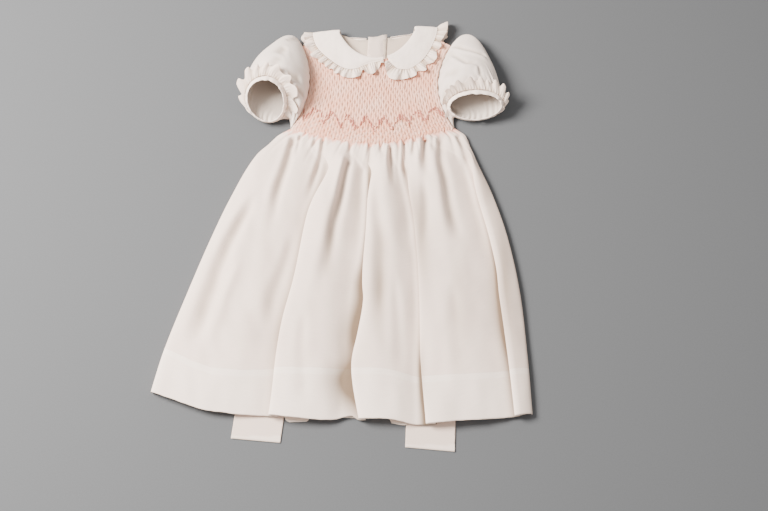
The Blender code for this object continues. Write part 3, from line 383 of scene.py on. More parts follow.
# %% Waist, sides and hem
# v (0 at the waist, 1 at the hem), left x and y, right x and y
SKIRT_ROWS = (
    (0.00, -78, 150, 159, 151), (0.03, -96, 139, 174, 139), (0.12, -127, 105, 188, 100),
    (0.27, -157, 46, 209, 48), (0.43, -183, -18, 228, -15), (0.65, -213, -102, 243, -98),
    (0.85, -239, -180, 250, -185), (1.00, -254, -241, 254, -270),
)
ROW_SAG = 24.0


def skirt_point(share, v):
    """Places in plan: a share of the way along the skirt's row at v, from left to right."""
    share, v = np.broadcast_arrays(np.asarray(share, float), np.asarray(v, float))
    left_x, left_y, right_x, right_y = np.moveaxis(through(SKIRT_ROWS, v), -1, 0)
    sag = np.sin(math.pi * np.clip(share, 0, 1)).clip(0) ** mix(1.3, 0.45, v)
    return np.stack([mix(left_x, right_x, share), mix(left_y, right_y, share) - ROW_SAG * sag], -1)


def waist_y(x):
    """Where the seam between yoke and skirt runs."""
    left, right = SKIRT_ROWS[0][1], SKIRT_ROWS[0][3]
    return skirt_point((x - left) / (right - left), 0.0)[..., 1]


print("skirt across at the hem:", SKIRT_ROWS[-1][3] - SKIRT_ROWS[-1][1], "mm")

# %% [markdown]
# ## The smocked yoke
# Smocking gathers a flat cloth into fine pleats, here fifty-five, and then joins their ridges in
# pairs, one pair up and the next one down, so that the pleats open into a honeycomb. The lowest
# rows are pulled closer, and the ridges run on into the skirt's gathers. A bump texture would look
# flat at the yoke's edge, and a cloth simulation would not place the rows, so the pleats are real
# relief: each ridge sways from one neighbour to the other, half a wave for each row of stitches.

# %% The yoke's plan and its rise over the chest
PLEATS_COUNT = 55
ARMHOLE_GAP = 1.0  # mm between the yoke's edge and the armhole's line


def yoke_height(x, y):
    """The front yoke's outside, in the valleys of its smocking."""
    above_waist = ease((y - waist_y(x)) / 60.0)
    left, right = armhole_x("left", y), armhole_x("right", y)
    across = np.minimum(1.0, np.abs(2 * (x - left) / (right - left) - 1))
    height = mix(mix(5.4, 7.6, above_waist), 11.6, (1 - across**2) ** 0.6)
    near_shoulder = 1 - ease((shoulder_y(x) - y) / 16.0)
    outside_neck = ease((np.abs(x - NECK_CENTRE_X) - NECK_HALF_WIDTH + 6) / 14)
    return height - near_shoulder * outside_neck


def yoke_plan(share, rise):
    """Places of the front yoke: share runs left to right, rise from the waist to the top."""
    left, right = ARMHOLES["left"], ARMHOLES["right"]

    def bottom(s):
        x = mix(left.under[0] + ARMHOLE_GAP, right.under[0] - ARMHOLE_GAP, s)
        return np.stack([x, skirt_point(s, 0.0)[..., 1] + 0.4], -1)

    def top(s):
        x = mix(left.cap[0] + ARMHOLE_GAP, right.cap[0] - ARMHOLE_GAP, s)
        return np.stack([x, yoke_top_y(x, NECK_DEPTH_FRONT, 0.7)], -1)

    def edge(side, w):
        y = mix(ARMHOLES[side].under[1], ARMHOLES[side].cap[1], w)
        return np.stack([armhole_x(side, y) - ARMHOLE_GAP * OUTWARD[side], y], -1)

    s, r = share[..., None], rise[..., None]
    none, whole = np.zeros_like(share), np.ones_like(share)
    corners = bottom(none) * (1 - s) * (1 - r) + bottom(whole) * s * (1 - r)
    corners = corners + top(none) * (1 - s) * r + top(whole) * s * r
    ruled = bottom(share) * (1 - r) + top(share) * r
    return ruled + edge("left", rise) * (1 - s) + edge("right", rise) * s - corners


print("one pleat on the chest:", round(CHEST / PLEATS_COUNT, 1), "mm")

# %% Pleats and honeycomb cells
LOW_ROW, ROW_SPACING, LOW_ROWS_REACH = 4.8, 6.8, 20  # mm
PLEAT_HEIGHT, WAIST_DIVE = 1.8, 3.6  # mm; the pleats dive under the skirt's first gathers


def cell_phase(x, above):
    """How many smocking rows lie below a place: they are closer near the waist."""
    higher_rows = LOW_ROWS_REACH / LOW_ROW + (above - LOW_ROWS_REACH) / ROW_SPACING
    rows = np.where(above < LOW_ROWS_REACH, above / LOW_ROW, higher_rows)
    return rows + 0.30 * ripple(x, above, 15, 11) + 0.16 * ripple(x, 0.5 * above, 7, 18)


def pleat_wobble(x, y, share):
    """How far a pleat wanders from its place, in pleats."""
    wander = 0.10 * ripple(x, y, 9, 12) + 0.16 * ripple(x, y, 23, 13)
    return wander * ease(np.minimum(share, 1 - share) * 30)


def smocking(share, rise):
    """Points of the pleated surface and how deep each lies in an open cell, from 0 to 1."""
    plan = yoke_plan(share, rise)
    x, y = plan[..., 0], plan[..., 1]
    above = y - waist_y(x)
    pleat = share * PLEATS_COUNT + pleat_wobble(x, y, share)
    number = np.floor(pleat)
    within = pleat - number
    reach = mix(0.16, 0.31, ease((above - 1) / 10))
    sway = reach * np.sin(math.pi * cell_phase(x, above)) * np.where(number % 2 > 0, -1, 1)
    ridge = 0.5 + sway
    on_left = within < ridge
    climb = np.where(on_left, within / ridge, (1 - within) / (1 - ridge))
    crest = np.sin(math.pi / 2 * np.clip(climb, 0, 1)) ** 0.75
    # where two ridges meet at a stitch, the cloth between them is shut
    opened = ease((2 * np.where(on_left, ridge, 1 - ridge) - 0.78) / 0.6)
    height = PLEAT_HEIGHT * mix(np.maximum(crest, 0.7), crest, opened)
    height = height * (0.86 + 0.14 * ripple(x, y, 12, 14)) * ease(np.minimum(share, 1 - share) * 60 + 0.3)
    tooth = 1.5 * ripple(x, 0 * y, 5, 15) - 2.6
    z = yoke_height(x, y) + height - WAIST_DIVE * ease((tooth + 2.5 - above) / 5)
    return np.stack([x, y, z], -1), (1 - crest) * opened, above - tooth


columns = np.linspace(0, 1, PLEATS_COUNT * 8 + 1)
rises = np.linspace(-0.055, 1, 118)
share, rise = np.meshgrid(columns, rises)
grid, valley, above = smocking(share, rise)
print("smocked surface:", grid.shape[:2], "points")

# %% [markdown]
# The blush comes from the pink thread: it shows in the valleys, where the needle passed behind the
# pleats, and most of all along the zigzag. The cloth itself stays ivory. So the finish mixes in the
# pink by a tone that is strongest along the zigzag and speckled below it, and paler towards the
# armholes, which is painted light against the sleeves' shade. The open cells get painted shade in a
# warm brown rose, deeper along the zigzag and fainter near the left armhole. Smocked cloth is many
# layers deep, and little light comes through.

# %% The yoke's cloth
ZIGZAG_MIDDLE, ZIGZAG_SWING, ZIGZAG_PITCH, ZIGZAG_PEAK_X = 29.0, 10.0, 25.0, 31.0
smocked = voile(
    "wool and cotton voile, smocked with pink thread", "#ebd0bf", "#8f664a", "#eba487",
    crumple=0.2, passes_light=0.08,
)
x, y = grid[..., 0], grid[..., 1]
below_zigzag = 1 - ease((above - ZIGZAG_MIDDLE + 2) / 9)
zig = 1 - 4 * np.abs(((x - ZIGZAG_PEAK_X) / ZIGZAG_PITCH + 0.5) % 1.0 - 0.5)
off_zigzag = above - ZIGZAG_MIDDLE - ZIGZAG_SWING * zig
on_zigzag = np.exp(-((off_zigzag / 4.5) ** 2)) * np.clip(0.7 + 0.5 * ripple(x, y, 7, 21), 0, 1.2)
blush = 0.70 + 0.25 * on_zigzag + 0.05 * below_zigzag
blush = blush + mix(0.08, 0.30, below_zigzag) * ripple(x, 0.6 * y, 4.5, 19) + 0.12 * ripple(x, y, 34, 16)
# paler towards both armholes: painted light against the shade that the sleeves cast
blush = np.clip(blush, 0, 1) * mix(0.45, 1.0, ease(np.minimum(share, 1 - share) * 16))
# painted shade in the open cells, deeper along the zigzag and fainter near the left armhole
cell_shade = valley * np.clip(0.7 + 0.5 * ripple(x, 0.5 * y, 6, 20), 0, 1.1) * mix(0.3, 1.0, ease(share * 10))
cell_shade = cell_shade * (1 + 0.9 * on_zigzag)
yoke = cloth_mesh("yoke_front_smocked", grid, smocked, ["front_yoke_smocked"], cell_shade, blush)
print("mean blush:", np.round(blush.mean(), 2))

# %% [markdown]
# ## The stitches
# A bar of thread crosses each pair of ridges, pale in the upper yoke and pink in the lowest rows,
# and rose thread steps from ridge to ridge in a zigzag of several loose lines. A bevelled curve
# could hold them as splines. One mesh of short six-sided rods, thinner at their ends, where the
# thread dives into the cloth, needs fewer faces and keeps each stitch exactly in its place.

# %% Threads
THREAD_SIDES = 6
# share of a stitch's length, and its thickness there
THREAD_TAPER = ((0, 0.35), (0.12, 0.95), (0.5, 1.08), (0.88, 0.95), (1.0, 0.35))


def add_threads(name, starts, ends, radius, finish, bulge=0.35):
    """Short stitches of rounded thread from each start to each end, all in one mesh."""
    starts, ends = np.asarray(starts, float), np.asarray(ends, float)
    shares, sizes = np.array(THREAD_TAPER).T
    run = ends - starts
    length = np.maximum(np.linalg.norm(run, axis=1, keepdims=True), 1e-6)
    sideways = np.cross(run / length, (0, 0, 1))
    sideways /= np.maximum(np.linalg.norm(sideways, axis=1, keepdims=True), 1e-6)
    upwards = np.cross(sideways, run / length)
    turn = np.arange(THREAD_SIDES) * 2 * math.pi / THREAD_SIDES
    around = sideways[:, None] * np.cos(turn)[:, None] + upwards[:, None] * np.sin(turn)[:, None]
    middles = starts[:, None] + run[:, None] * shares[:, None]
    middles = middles + upwards[:, None] * (bulge * np.sin(math.pi * shares))[:, None]
    points = middles[:, :, None] + around[:, None] * (sizes * radius)[:, None, None]
    faces = []
    for ring in range(len(shares) - 1):
        for k in range(THREAD_SIDES):
            a, b = ring * THREAD_SIDES + k, ring * THREAD_SIDES + (k + 1) % THREAD_SIDES
            faces.append([a, b, b + THREAD_SIDES, a + THREAD_SIDES])
    last = (len(shares) - 1) * THREAD_SIDES
    faces += [list(range(THREAD_SIDES))[::-1], list(range(last, last + THREAD_SIDES))]
    count = len(shares) * THREAD_SIDES
    every = [[corner + n * count for corner in face] for n in range(len(starts)) for face in faces]
    return add_mesh(name, points.reshape(-1, 3), every, finish)


# Mercerised cotton: the lye bath swells the fibres round, so the strands shine like dull silk.
rose_thread = plain_finish("mercerised cotton thread, rose", "#b26353", 0.6, **{"Sheen Weight": 0.3})
pink_thread = plain_finish("mercerised cotton thread, pink", "#ecab97", 0.6, **{"Sheen Weight": 0.3})
pale_thread = plain_finish("mercerised cotton thread, pale pink", "#f0c9b8", 0.6, **{"Sheen Weight": 0.3})
# Sewing thread is spun matt, so it hardly parts from the cloth.
ivory_thread = plain_finish("spun sewing thread, ivory", "#f3e4d6", 0.6)
print("threads:", rose_thread.name, pink_thread.name, pale_thread.name, ivory_thread.name, sep="\n  ")

# %% The bars that hold the pleats
LOW_BAR_RADIUS, HIGH_BAR_RADIUS = 0.36, 0.26  # mm


def stitches_between(lowest, highest):
    """Ends of the bars that hold pairs of ridges together, between two heights over the waist."""
    starts, ends = [], []
    line = np.linspace(0.0, 0.97, 300)
    for pleat in range(1, PLEATS_COUNT):
        plan = yoke_plan(np.full_like(line, pleat / PLEATS_COUNT), line)
        x, y = plan[..., 0], plan[..., 1]
        over = y - waist_y(x)
        phase = np.maximum.accumulate(cell_phase(x, over))
        rows = np.arange(0.5 if pleat % 2 else 1.5, phase[-1], 2)
        at = np.interp(rows, phase, line)
        at = at[(np.interp(at, line, over) > lowest) & (np.interp(at, line, over) < highest)]
        centre = yoke_plan(np.full_like(at, pleat / PLEATS_COUNT), at)
        shift = pleat_wobble(centre[..., 0], centre[..., 1], pleat / PLEATS_COUNT)
        middle = (pleat - shift) / PLEATS_COUNT
        for reach, store in ((-0.22, starts), (0.22, ends)):
            points = smocking(middle + reach / PLEATS_COUNT, at)[0]
            points[..., 2] += 0.1
            store.extend(points)
    return starts, ends


low = stitches_between(0.5, ZIGZAG_MIDDLE - 9)
middle = stitches_between(ZIGZAG_MIDDLE - 9, ZIGZAG_MIDDLE + 6)
high = stitches_between(ZIGZAG_MIDDLE + 6, 200)
add_threads("stitches_low_rows", *low, LOW_BAR_RADIUS, pink_thread)
add_threads("stitches_upper_rows", high[0] + middle[0], high[1] + middle[1], HIGH_BAR_RADIUS, pale_thread)
print("stitches:", len(low[0]), "low,", len(high[0]) + len(middle[0]), "high")

# %% The zigzag
YOKE_LENGTH, ZIGZAG_RADIUS = 125, 0.58  # mm; stranded thread is 1 mm thick or a little more
# each line's height over the zigzag's middle in mm, and the share of its stitches that are there
ZIGZAG_LINES = ((-5.0, 0.2), (-2.5, 0.5), (0.0, 0.8), (2.2, 0.5), (4.2, 0.2))


def zigzag_line(raise_by):
    """Points on the pleats' ridges along the zigzag."""
    share = (np.arange(PLEATS_COUNT) + 0.5) / PLEATS_COUNT
    rise = np.full_like(share, 0.25)
    for _ in range(6):
        plan = yoke_plan(share, rise)
        turn = (plan[..., 0] - ZIGZAG_PEAK_X) / ZIGZAG_PITCH + 0.5
        goal = ZIGZAG_MIDDLE + raise_by + ZIGZAG_SWING * (1 - 4 * np.abs(turn % 1.0 - 0.5))
        rise = rise + (goal - (plan[..., 1] - waist_y(plan[..., 0]))) / YOKE_LENGTH
    points = smocking(share, rise)[0]
    points[..., 2] = yoke_height(points[..., 0], points[..., 1]) + PLEAT_HEIGHT + 0.05
    return points


starts, ends = [], []
for number, (offset, share_kept) in enumerate(ZIGZAG_LINES):
    line = zigzag_line(offset)
    near_peak = np.abs((line[:-1, 0] - ZIGZAG_PEAK_X) / ZIGZAG_PITCH % 1.0 - 0.5) * 2
    kept = np.random.default_rng(17 + number).uniform(0, 1, len(line) - 1) < share_kept + 0.35 * near_peak
    drift = np.random.default_rng(27 + number).uniform(-1.2, 1.2, (2, len(line) - 1, 1)) * (0, 1, 0)
    starts.append((mix(line[:-1], line[1:], 0.15) + drift[0])[kept])
    ends.append((mix(line[:-1], line[1:], 0.75) + drift[1])[kept])
add_threads("stitches_zigzag", np.concatenate(starts), np.concatenate(ends), ZIGZAG_RADIUS, rose_thread)
print("zigzag stitches:", sum(map(len, starts)))

# %% [markdown]
# ## The front skirt
# The skirt is one width of cloth, gathered into the last row of smocking. Laid down, it falls into
# broad soft lobes, and between two lobes the cloth folds over itself in a pleat. A cloth
# simulation would make its own folds and never these. So each row across the skirt is a smooth
# curve through a few control points: an arch for each lobe, and a small S for each pleat, whose
# edge, overlap and opening stand in a table.

# %% Lobes and pleats
TROUGH_HEIGHT, TROUGH_SINKS = 4.9, 1.6
# control points, and the crest's height near the waist and at the hem
LOBES = ((7, 12, 9), (5, 13, 10), (5, 14, 11), (5, 12, 9), (3, 8, 7.5))
# v, the edge's share of the width, overlap and opening in mm
PLEATS = (
    (
        (0.00, 0.24, 0, 0), (0.10, 0.32, 5, 0), (0.30, 0.305, 6.5, 0), (0.54, 0.308, 7, 0),
        (0.70, 0.303, 8, 0), (0.92, 0.315, 9, 0), (1.00, 0.316, 9, 0),
    ),
    (
        (0.00, 0.49, 0, 0), (0.12, 0.520, 4.5, 0), (0.29, 0.526, 7, 0), (0.45, 0.522, 9, 1),
        (0.55, 0.525, 9, 8), (0.62, 0.533, 8, 14), (0.74, 0.527, 7, 10), (0.83, 0.520, 6, 3),
        (0.90, 0.528, 6, 9), (1.00, 0.551, 6, 17),
    ),
    (
        (0.00, 0.655, 0, 0), (0.12, 0.680, 4, 0), (0.28, 0.697, 5, 0), (0.42, 0.699, 5, 0),
        (0.80, 0.708, 9, 0), (1.00, 0.726, 11, 7),
    ),
    (
        (0.00, 0.94, 0, 0), (0.10, 0.963, 1, 0), (0.30, 0.9455, 3, 0), (0.55, 0.946, 3.5, 0),
        (0.66, 0.942, 4, 0), (0.85, 0.95, 4, 0), (1.00, 0.957, 4, 0),
    ),
)


def skirt_width(v):
    """The distance between the skirt's sides at v, in mm."""
    rows = through(SKIRT_ROWS, v)
    return rows[..., 2] - rows[..., 0]


at_hem = [round(float(pleat[-1][1] * skirt_width(1.0))) for pleat in PLEATS]
print("pleats at the hem:", at_hem, "mm from the left")

# %% Control points of a row
FLAT_FOLD = ((-8.0, 1.6), (-5.0, 1.0), (-2.0, 1.2), (1.0, 2.6), (4.0, 4.0), (7.0, 5.6))


def pleat_controls(x, lap, opening, grown):
    """The S of one pleat, from a flat dip at the waist to a fold that laps over its neighbour."""
    folded = [
        (-opening - 4.0, 1.2), (-opening * 0.4 + lap * 0.6, 0.0), (lap + 1.8, 0.1),
        (lap + 1.5, 3.1), (-0.3, 3.2), (-3.6, 6.0),
    ]
    return [
        (x + mix(flat[0], bent[0], grown), TROUGH_HEIGHT + mix(flat[1], bent[1], grown), grown)
        for flat, bent in zip(FLAT_FOLD, folded)
    ]


def skirt_controls(v):
    """Across the open folds at v: x from the left edge, height, and 1 where it is folded."""
    width, low = float(skirt_width(v)), TROUGH_HEIGHT
    grown = float(ease((v - 0.02) / 0.23))
    sunk = TROUGH_SINKS * float(ease((v - 0.05) / 0.2))
    points = [(1.2, 1.7, 1.0), (-0.6, low + 0.6, 1.0)]
    edges = [[float(value) for value in through(pleat, v)] for pleat in PLEATS]
    starts = [2.4] + [share * width - 0.3 for share, _, _ in edges]
    ends = [share * width - opening - 11 for share, _, opening in edges] + [width - 2.4]
    for index, (count, crest_high, crest_hem) in enumerate(LOBES):
        crest = mix(crest_high, crest_hem, float(ease((v - 0.2) / 0.8)))
        start_x = starts[index] + (mix(9.0, 0.0, grown) if index else 0.0)
        start_height = mix(6.0, 9.0, grown) if index else 5.0
        for step in range(count):
            along = step / (count - 1 if count > 2 else 2)
            arch = math.sin(math.pi * min(1, along**0.8 + 0.04)) ** 0.75 if along < 0.96 else 0
            dive = (2.4 + sunk) * float(ease((along - 0.72) / 0.28)) if index < len(edges) else 0
            height = low + mix(start_height, 4.0, along) + (crest - 6) * arch - dive
            points.append((mix(start_x, ends[index], along), height, 0.0 if step else grown))
        if index < len(edges):
            share, lap, opening = edges[index]
            points += pleat_controls(share * width, lap, opening, grown)
    edge = low + mix(2.6, 0.6, float(ease((v - 0.35) / 0.5))) * min(1.0, v / 0.05)
    return points + [(width + 0.6, edge, 1.0), (width - 1.2, 1.7, 1.0)]


print("control points of a row:", len(skirt_controls(0.5)))

# %% Rows across the skirt
POINTS_PER_CONTROL = 8


def spline_through(controls, steps):
    """Points on a cubic B-spline near the control points, from the first one to the last."""
    c = np.asarray(controls, float)
    c = np.vstack([2 * c[0] - c[1], c, 2 * c[-1] - c[-2]])
    t = (np.arange(steps) / steps)[:, None]
    points = [
        (
            c[i] * (1 - t) ** 3
            + c[i + 1] * (3 * t**3 - 6 * t**2 + 4)
            + c[i + 2] * (-3 * t**3 + 3 * t**2 + 3 * t + 1)
            + c[i + 3] * t**3
        )
        / 6
        for i in range(len(controls) - 1)
    ]
    return np.vstack([*points, controls[-1]])


def skirt_row(v, steps):
    """One row across the skirt: x, y, height and how folded it is."""
    width, opened = float(skirt_width(v)), float(ease(v / 0.11))
    controls = np.array(skirt_controls(v))
    even = np.linspace(0, 1, len(controls))
    waist = skirt_point(even, 0.0)
    flat = yoke_height(waist[:, 0], waist[:, 1])
    at_x = mix(even * width, controls[:, 0], opened)
    shaped = np.stack([at_x, mix(flat, controls[:, 1], opened), controls[:, 2] * opened], -1)
    curve = spline_through(shaped, steps)
    plan = skirt_point(curve[:, 0] / width, v)
    return np.c_[plan, curve[:, 1:]]


gathered_rows, lower_rows = np.linspace(0, 0.3, 84), np.linspace(0.3, 0.96, 84)
rows = np.concatenate([gathered_rows[:-1], lower_rows[:-1], np.linspace(0.96, 1, 12)])
skirt = np.array([skirt_row(v, POINTS_PER_CONTROL) for v in rows])
folded = np.minimum(1, skirt[..., 3])
grid = skirt[..., :3].copy()
x, y = grid[..., 0], grid[..., 1]
v, even = np.meshgrid(rows, np.linspace(0, 1, grid.shape[1]), indexing="ij")
free = ease(np.minimum(even, 1 - even) / 0.03) * (1 - folded)
print("front skirt:", grid.shape[:2], "points, up to", np.round(grid[..., 2].max(), 1), "mm high")

# %% [markdown]
# Each lobe sinks in a long shallow dip along its middle. Under the smocking the cloth is drawn
# in twice: fine puckers right at the seam, and wider gathers that run down to a quarter of the
# skirt. Real gathers end one by one, so each has a reach of its own, from its number times the
# golden ratio, which spreads the reaches evenly without a visible order.

# %% Dips and gathers
# share across at the waist and at the hem, first and last share down, depth in mm, width
DIPS = (
    (0.09, 0.11, 0.03, 0.75, 3.0, 0.028), (0.17, 0.17, 0.10, 0.95, 2.2, 0.024),
    (0.37, 0.345, 0.05, 0.55, 3.6, 0.022), (0.60, 0.59, 0.30, 0.98, 2.6, 0.022),
    (0.80, 0.805, 0.05, 0.80, 3.0, 0.020),
)
GOLDEN_SHARE = 0.618
for top, hem, first, last, depth, width in DIPS:
    along = np.clip((v - first) / (last - first), 0, 1)
    away = (even - mix(top, hem, along)) / width
    grid[..., 2] -= 0.9 * depth * np.exp(-away * away) * np.sin(math.pi * along) ** 0.6 * free
ends_x = through(SKIRT_ROWS, rows)
across = (x - ends_x[:, 0, None]) / (ends_x[:, 2] - ends_x[:, 0])[:, None]
puckers = 38 * across + 0.35 * ripple(x, 0.3 * y, 30, 31)
gathers = 18.5 * across + 0.38 * ripple(x, 0.15 * y, 42, 32)
gathered = np.zeros_like(x)
# their number across, height in mm, least and most reach down the skirt, narrowness and beat
for turn, height, least, most, narrow, beat in (
    (puckers, 0.8, 0.012, 0.05, 0.26, 33), (gathers, 2.3, 0.06, 0.22, 0.15, 34),
):
    number = np.floor(turn + 0.5)
    reach = mix(least, most, (number * GOLDEN_SHARE) % 1.0)
    strength = 0.6 + 0.4 * np.cos(number * 2.4 + beat)
    bell = np.exp(-(((turn - number) / narrow) ** 2))
    gathered += height * strength * (0.35 - bell) * (1 - ease(v / reach))
grid[..., 2] += gathered * free
print("deepest gather:", np.round(-(gathered * free).min(), 1), "mm")

# %% [markdown]
# A crease is a trough with a lip: the cloth that is pushed out of the line stands up beside it.
# Sculpting would make one, but nobody could read its size afterwards. Here a crease is a row of a
# table, with its depth, its width and the places it runs through, and it fades at both ends.

# %% Creases
Crease = namedtuple("Crease", "depth width lip path start end", defaults=(0.06, 0.45))


def creased(x, y, creases):
    """What a table of creases adds at places in plan.

    A crease is a trough along a path, with a raised lip on its right side when lip is positive.
    It widens along its path; start and end are the shares of it over which it comes and goes.
    """
    total = np.zeros_like(x)
    for crease in creases:
        nodes = np.array(crease.path, float)
        keys = np.linspace(0, 1, len(nodes))
        path = through(np.c_[keys, nodes], np.linspace(0, 1, 6 * len(nodes)))
        best = np.full(x.shape, 1e9)
        side, along = np.zeros_like(x), np.zeros_like(x)
        for k, (a, b) in enumerate(zip(path, path[1:])):
            run = b - a
            t = np.clip(((x - a[0]) * run[0] + (y - a[1]) * run[1]) / (run @ run), 0, 1)
            dx, dy = x - a[0] - t * run[0], y - a[1] - t * run[1]
            far = np.hypot(dx, dy)
            near = far < best
            best = np.where(near, far, best)
            side = np.where(near, np.sign(run[0] * dy - run[1] * dx), side)
            along = np.where(near, (k + t) / (len(path) - 1), along)
        away = best * side / (crease.width * mix(0.6, 1.2, along))
        bell = np.exp(-away * away)
        shape = crease.lip * np.exp(-((-away - 1.5) ** 2)) - bell
        total += crease.depth * shape * ease(along / crease.start) * ease((1 - along) / crease.end)
    return total


# depth and width in mm, the lip's share of the depth, the places that it runs through in mm, and
# the shares of its length over which it comes and goes
SKIRT_CREASES = (
    Crease(4.2, 7.2, 0.3, ((-71, 138), (-79, 99), (-92, 52), (-98, 12), (-108, -53)), 0.05, 0.6),
    Crease(3.2, 4.3, 0.3, ((-29, 138), (-33, 105), (-42, 70), (-53, 32)), 0.05, 0.5),
    Crease(1.7, 3.2, 0.3, ((-40, 140), (-42, 128), (-43, 112))),
    Crease(1.9, 3.5, 0.3, ((-62, 140), (-65, 122), (-70, 100))),
    Crease(1.5, 2.9, 0.2, ((8, 138), (9, 118), (9, 102)), 0.05, 0.1),
    Crease(
        6.3, 8, 0.35,
        ((10, 108), (4, 83), (-3, 43), (-11, 5), (-19, -41), (-27, -80), (-33, -120)), 0.10, 0.75,
    ),
    Crease(2.7, 3.5, 0.3, ((39, 136), (37, 107), (33, 80)), 0.05, 0.4),
    Crease(4.2, 13, 0.2, ((44, 95), (46, 20), (52, -26), (52, -72), (50, -126), (50, -200)), 0.2, 0.3),
    Crease(1.7, 2.6, 0.3, ((54, 134), (53, 118), (54, 104))),
    Crease(4.4, 4.6, 0.4, ((66, 124), (67, 90), (71, 48)), 0.08, 0.7),
    Crease(3.8, 3.8, 0.4, ((85, 136), (86, 107), (87, 89), (94, 66)), 0.04, 0.3),
    Crease(3.2, 8.7, 0.2, ((112, 80), (114, 13), (108, -38), (109, -100)), 0.2, 0.5),
    Crease(2.3, 3.2, 0.3, ((100, 134), (99, 118), (98, 100))),
    Crease(5.5, 6.1, 0.3, ((115, 136), (114, 99), (117, 62)), 0.06, 0.6),
    Crease(1.9, 3.2, 0.3, ((126, 140), (127, 124), (129, 108))),
    Crease(4.4, 8.1, 0.3, ((137, 140), (137, 99), (143, 67), (148, 28), (156, -8), (170, -36)), 0.05, 0.35),
    Crease(3.2, 5.2, 0.3, ((161, 140), (172, 115), (181, 91)), 0.06, 0.3),
    Crease(
        4.4, 11, 0.3,
        ((-120, 50), (-143, 4), (-161, -37), (-177, -85), (-194, -147), (-201, -190)), 0.2, 0.3,
    ),
    Crease(-1.7, 9, 0.0, ((-136, -40), (-158, -101), (-167, -134), (-183, -180)), 0.3, 0.3),
    Crease(2, 9, 0.2, ((-68, 0), (-80, -57), (-95, -105), (-104, -180)), 0.3, 0.3),
    Crease(1.2, 13, 0.0, ((-122, -120), (-118, -150), (-110, -200)), 0.4, 0.4),
    Crease(1.6, 10, 0.2, ((150, -80), (154, -140), (158, -220)), 0.3, 0.2),
    Crease(1.4, 8, 0.2, ((70, -60), (76, -140), (80, -230)), 0.4, 0.3),
    Crease(1.5, 9, 0.2, ((-50, -120), (-54, -180), (-50, -260)), 0.4, 0.2),
)
crease_depth = 1.35 * creased(x, y, SKIRT_CREASES) * ease(v / 0.02 + 0.4) * mix(1.0, 0.25, folded)
grid[..., 2] += crease_depth
slack = 0.6 * ripple(x, y * 0.5, 48, 35) + 0.22 * ripple(x, y * 0.45, 19, 36)
grid[..., 2] += slack * free * ease(v / 0.2)
print("creases:", len(SKIRT_CREASES), "the deepest", np.round(-crease_depth.min(), 1), "mm")

# %% [markdown]
# The hem is turned up some 70 mm, so its top edge shows as a step of one cloth's thickness. Behind
# that edge is a narrow turning: the first 9 mm are three layers thick, and a little brighter than
# the two layers below. The step is real relief in the mesh, since it catches the light, and the
# finish draws the turning from each place's distance below the hem's top.

# %% The turned-up hem
HEM_THICKNESS, CLEAR_OF_FLOOR, PAST_HEM = 0.35, 1.4, 80.0  # mm
HEM_TOP = (
    (-256, -168), (-235, -182), (-200, -199), (-174, -207), (-137, -210), (-85, -208), (10, -209),
    (60, -211), (110, -220), (168, -218), (218, -213), (252, -208),
)
HEM_EDGE = (
    (-256, -240), (-235, -248), (-192, -264), (-175, -268), (-141, -272), (-97, -274), (-54, -279),
    (-14, -280), (14, -274), (24, -279), (68, -281), (102, -286), (151, -283), (206, -278),
    (256, -271),
)
# the rows that the edge turns back along, and how far below the front they lie
TURNED_ROWS, TURNED_DROPS = [-1, -2, -4, -7], np.array([0.6, 1.1, 1.3, 1.2])
below_hem_top = np.interp(x, *np.array(HEM_TOP).T) - y
grid[..., 2] += HEM_THICKNESS * ease(below_hem_top / 1.5 + 0.5)
bottom = through(HEM_EDGE, grid[-1, :, 0])[..., 0] + 0.35 * ripple(grid[-1, :, 0], 0, 13, 37)
grid[..., 1] += (bottom - grid[-1, :, 1]) * ease((v - 0.82) / 0.18)
turned = grid[TURNED_ROWS]
turned[..., 2] -= TURNED_DROPS[:, None]
grid = np.concatenate([grid, turned])
grid[..., 2] = np.maximum(grid[..., 2], CLEAR_OF_FLOOR)
hem = np.concatenate([below_hem_top, np.full_like(turned[..., 0], PAST_HEM)])
print("hem's height at its middle:", np.round(np.median(below_hem_top[-1])), "mm")

# %% [markdown]
# White cloth is lit from all sides by its own neighbours, and a shell that is one layer thin
# loses part of the depth that layers of voile give a hollow. So shade is painted into the
# finish's colour, which turns a little browner: beside each pleat, in creases and gathers, in
# valleys that the crests beside them keep from the light, on the strip past the last pleat, in soft
# patches at random, and wherever the cloth lies lower than its blurred surroundings.

# %% Painted shade beside the pleats
# v, how much shade is painted into the hollow beside the pleat, and its width in mm
SHADES = (
    ((0.0, 0.0, 8), (0.12, 0.5, 7), (0.30, 0.75, 8), (0.5, 0.7, 9), (0.75, 0.65, 11), (1.0, 0.3, 9)),
    (
        (0.0, 0.1, 2), (0.06, 0.7, 2.5), (0.15, 0.9, 2.5), (0.45, 0.9, 5), (0.55, 1.0, 14), (0.72, 1.2, 22),
        (0.82, 0.9, 22), (0.9, 1.4, 30), (1.0, 0.5, 24),
    ),
    ((0.0, 0.1, 4), (0.12, 0.5, 5), (0.35, 0.35, 5), (0.8, 0.5, 6), (0.9, 0.95, 6), (1.0, 1.2, 9)),
    ((0.0, 0.0, 4), (0.3, 0.25, 6), (0.5, 0.8, 8), (0.7, 1.0, 9), (1.0, 0.7, 8)),
)
# the same to the right of the third pleat, where its own cloth dips
SHADE_AFTER = (
    (0.0, 0.0, 8), (0.14, 0.1, 8), (0.25, 0.45, 12), (0.42, 0.5, 13), (0.6, 0.25, 14), (0.8, 0.0, 12),
    (1.0, 0.0, 8),
)


def blurred(values, passes):
    """Values evened with their neighbours in a grid."""
    for _ in range(passes):
        padded = np.pad(values, ((1, 1), (1, 1)), mode="edge")
        values = (
            2 * values + padded[1:-1, :-2] + padded[1:-1, 2:] + padded[:-2, 1:-1] + padded[2:, 1:-1]
        ) / 6
    return values


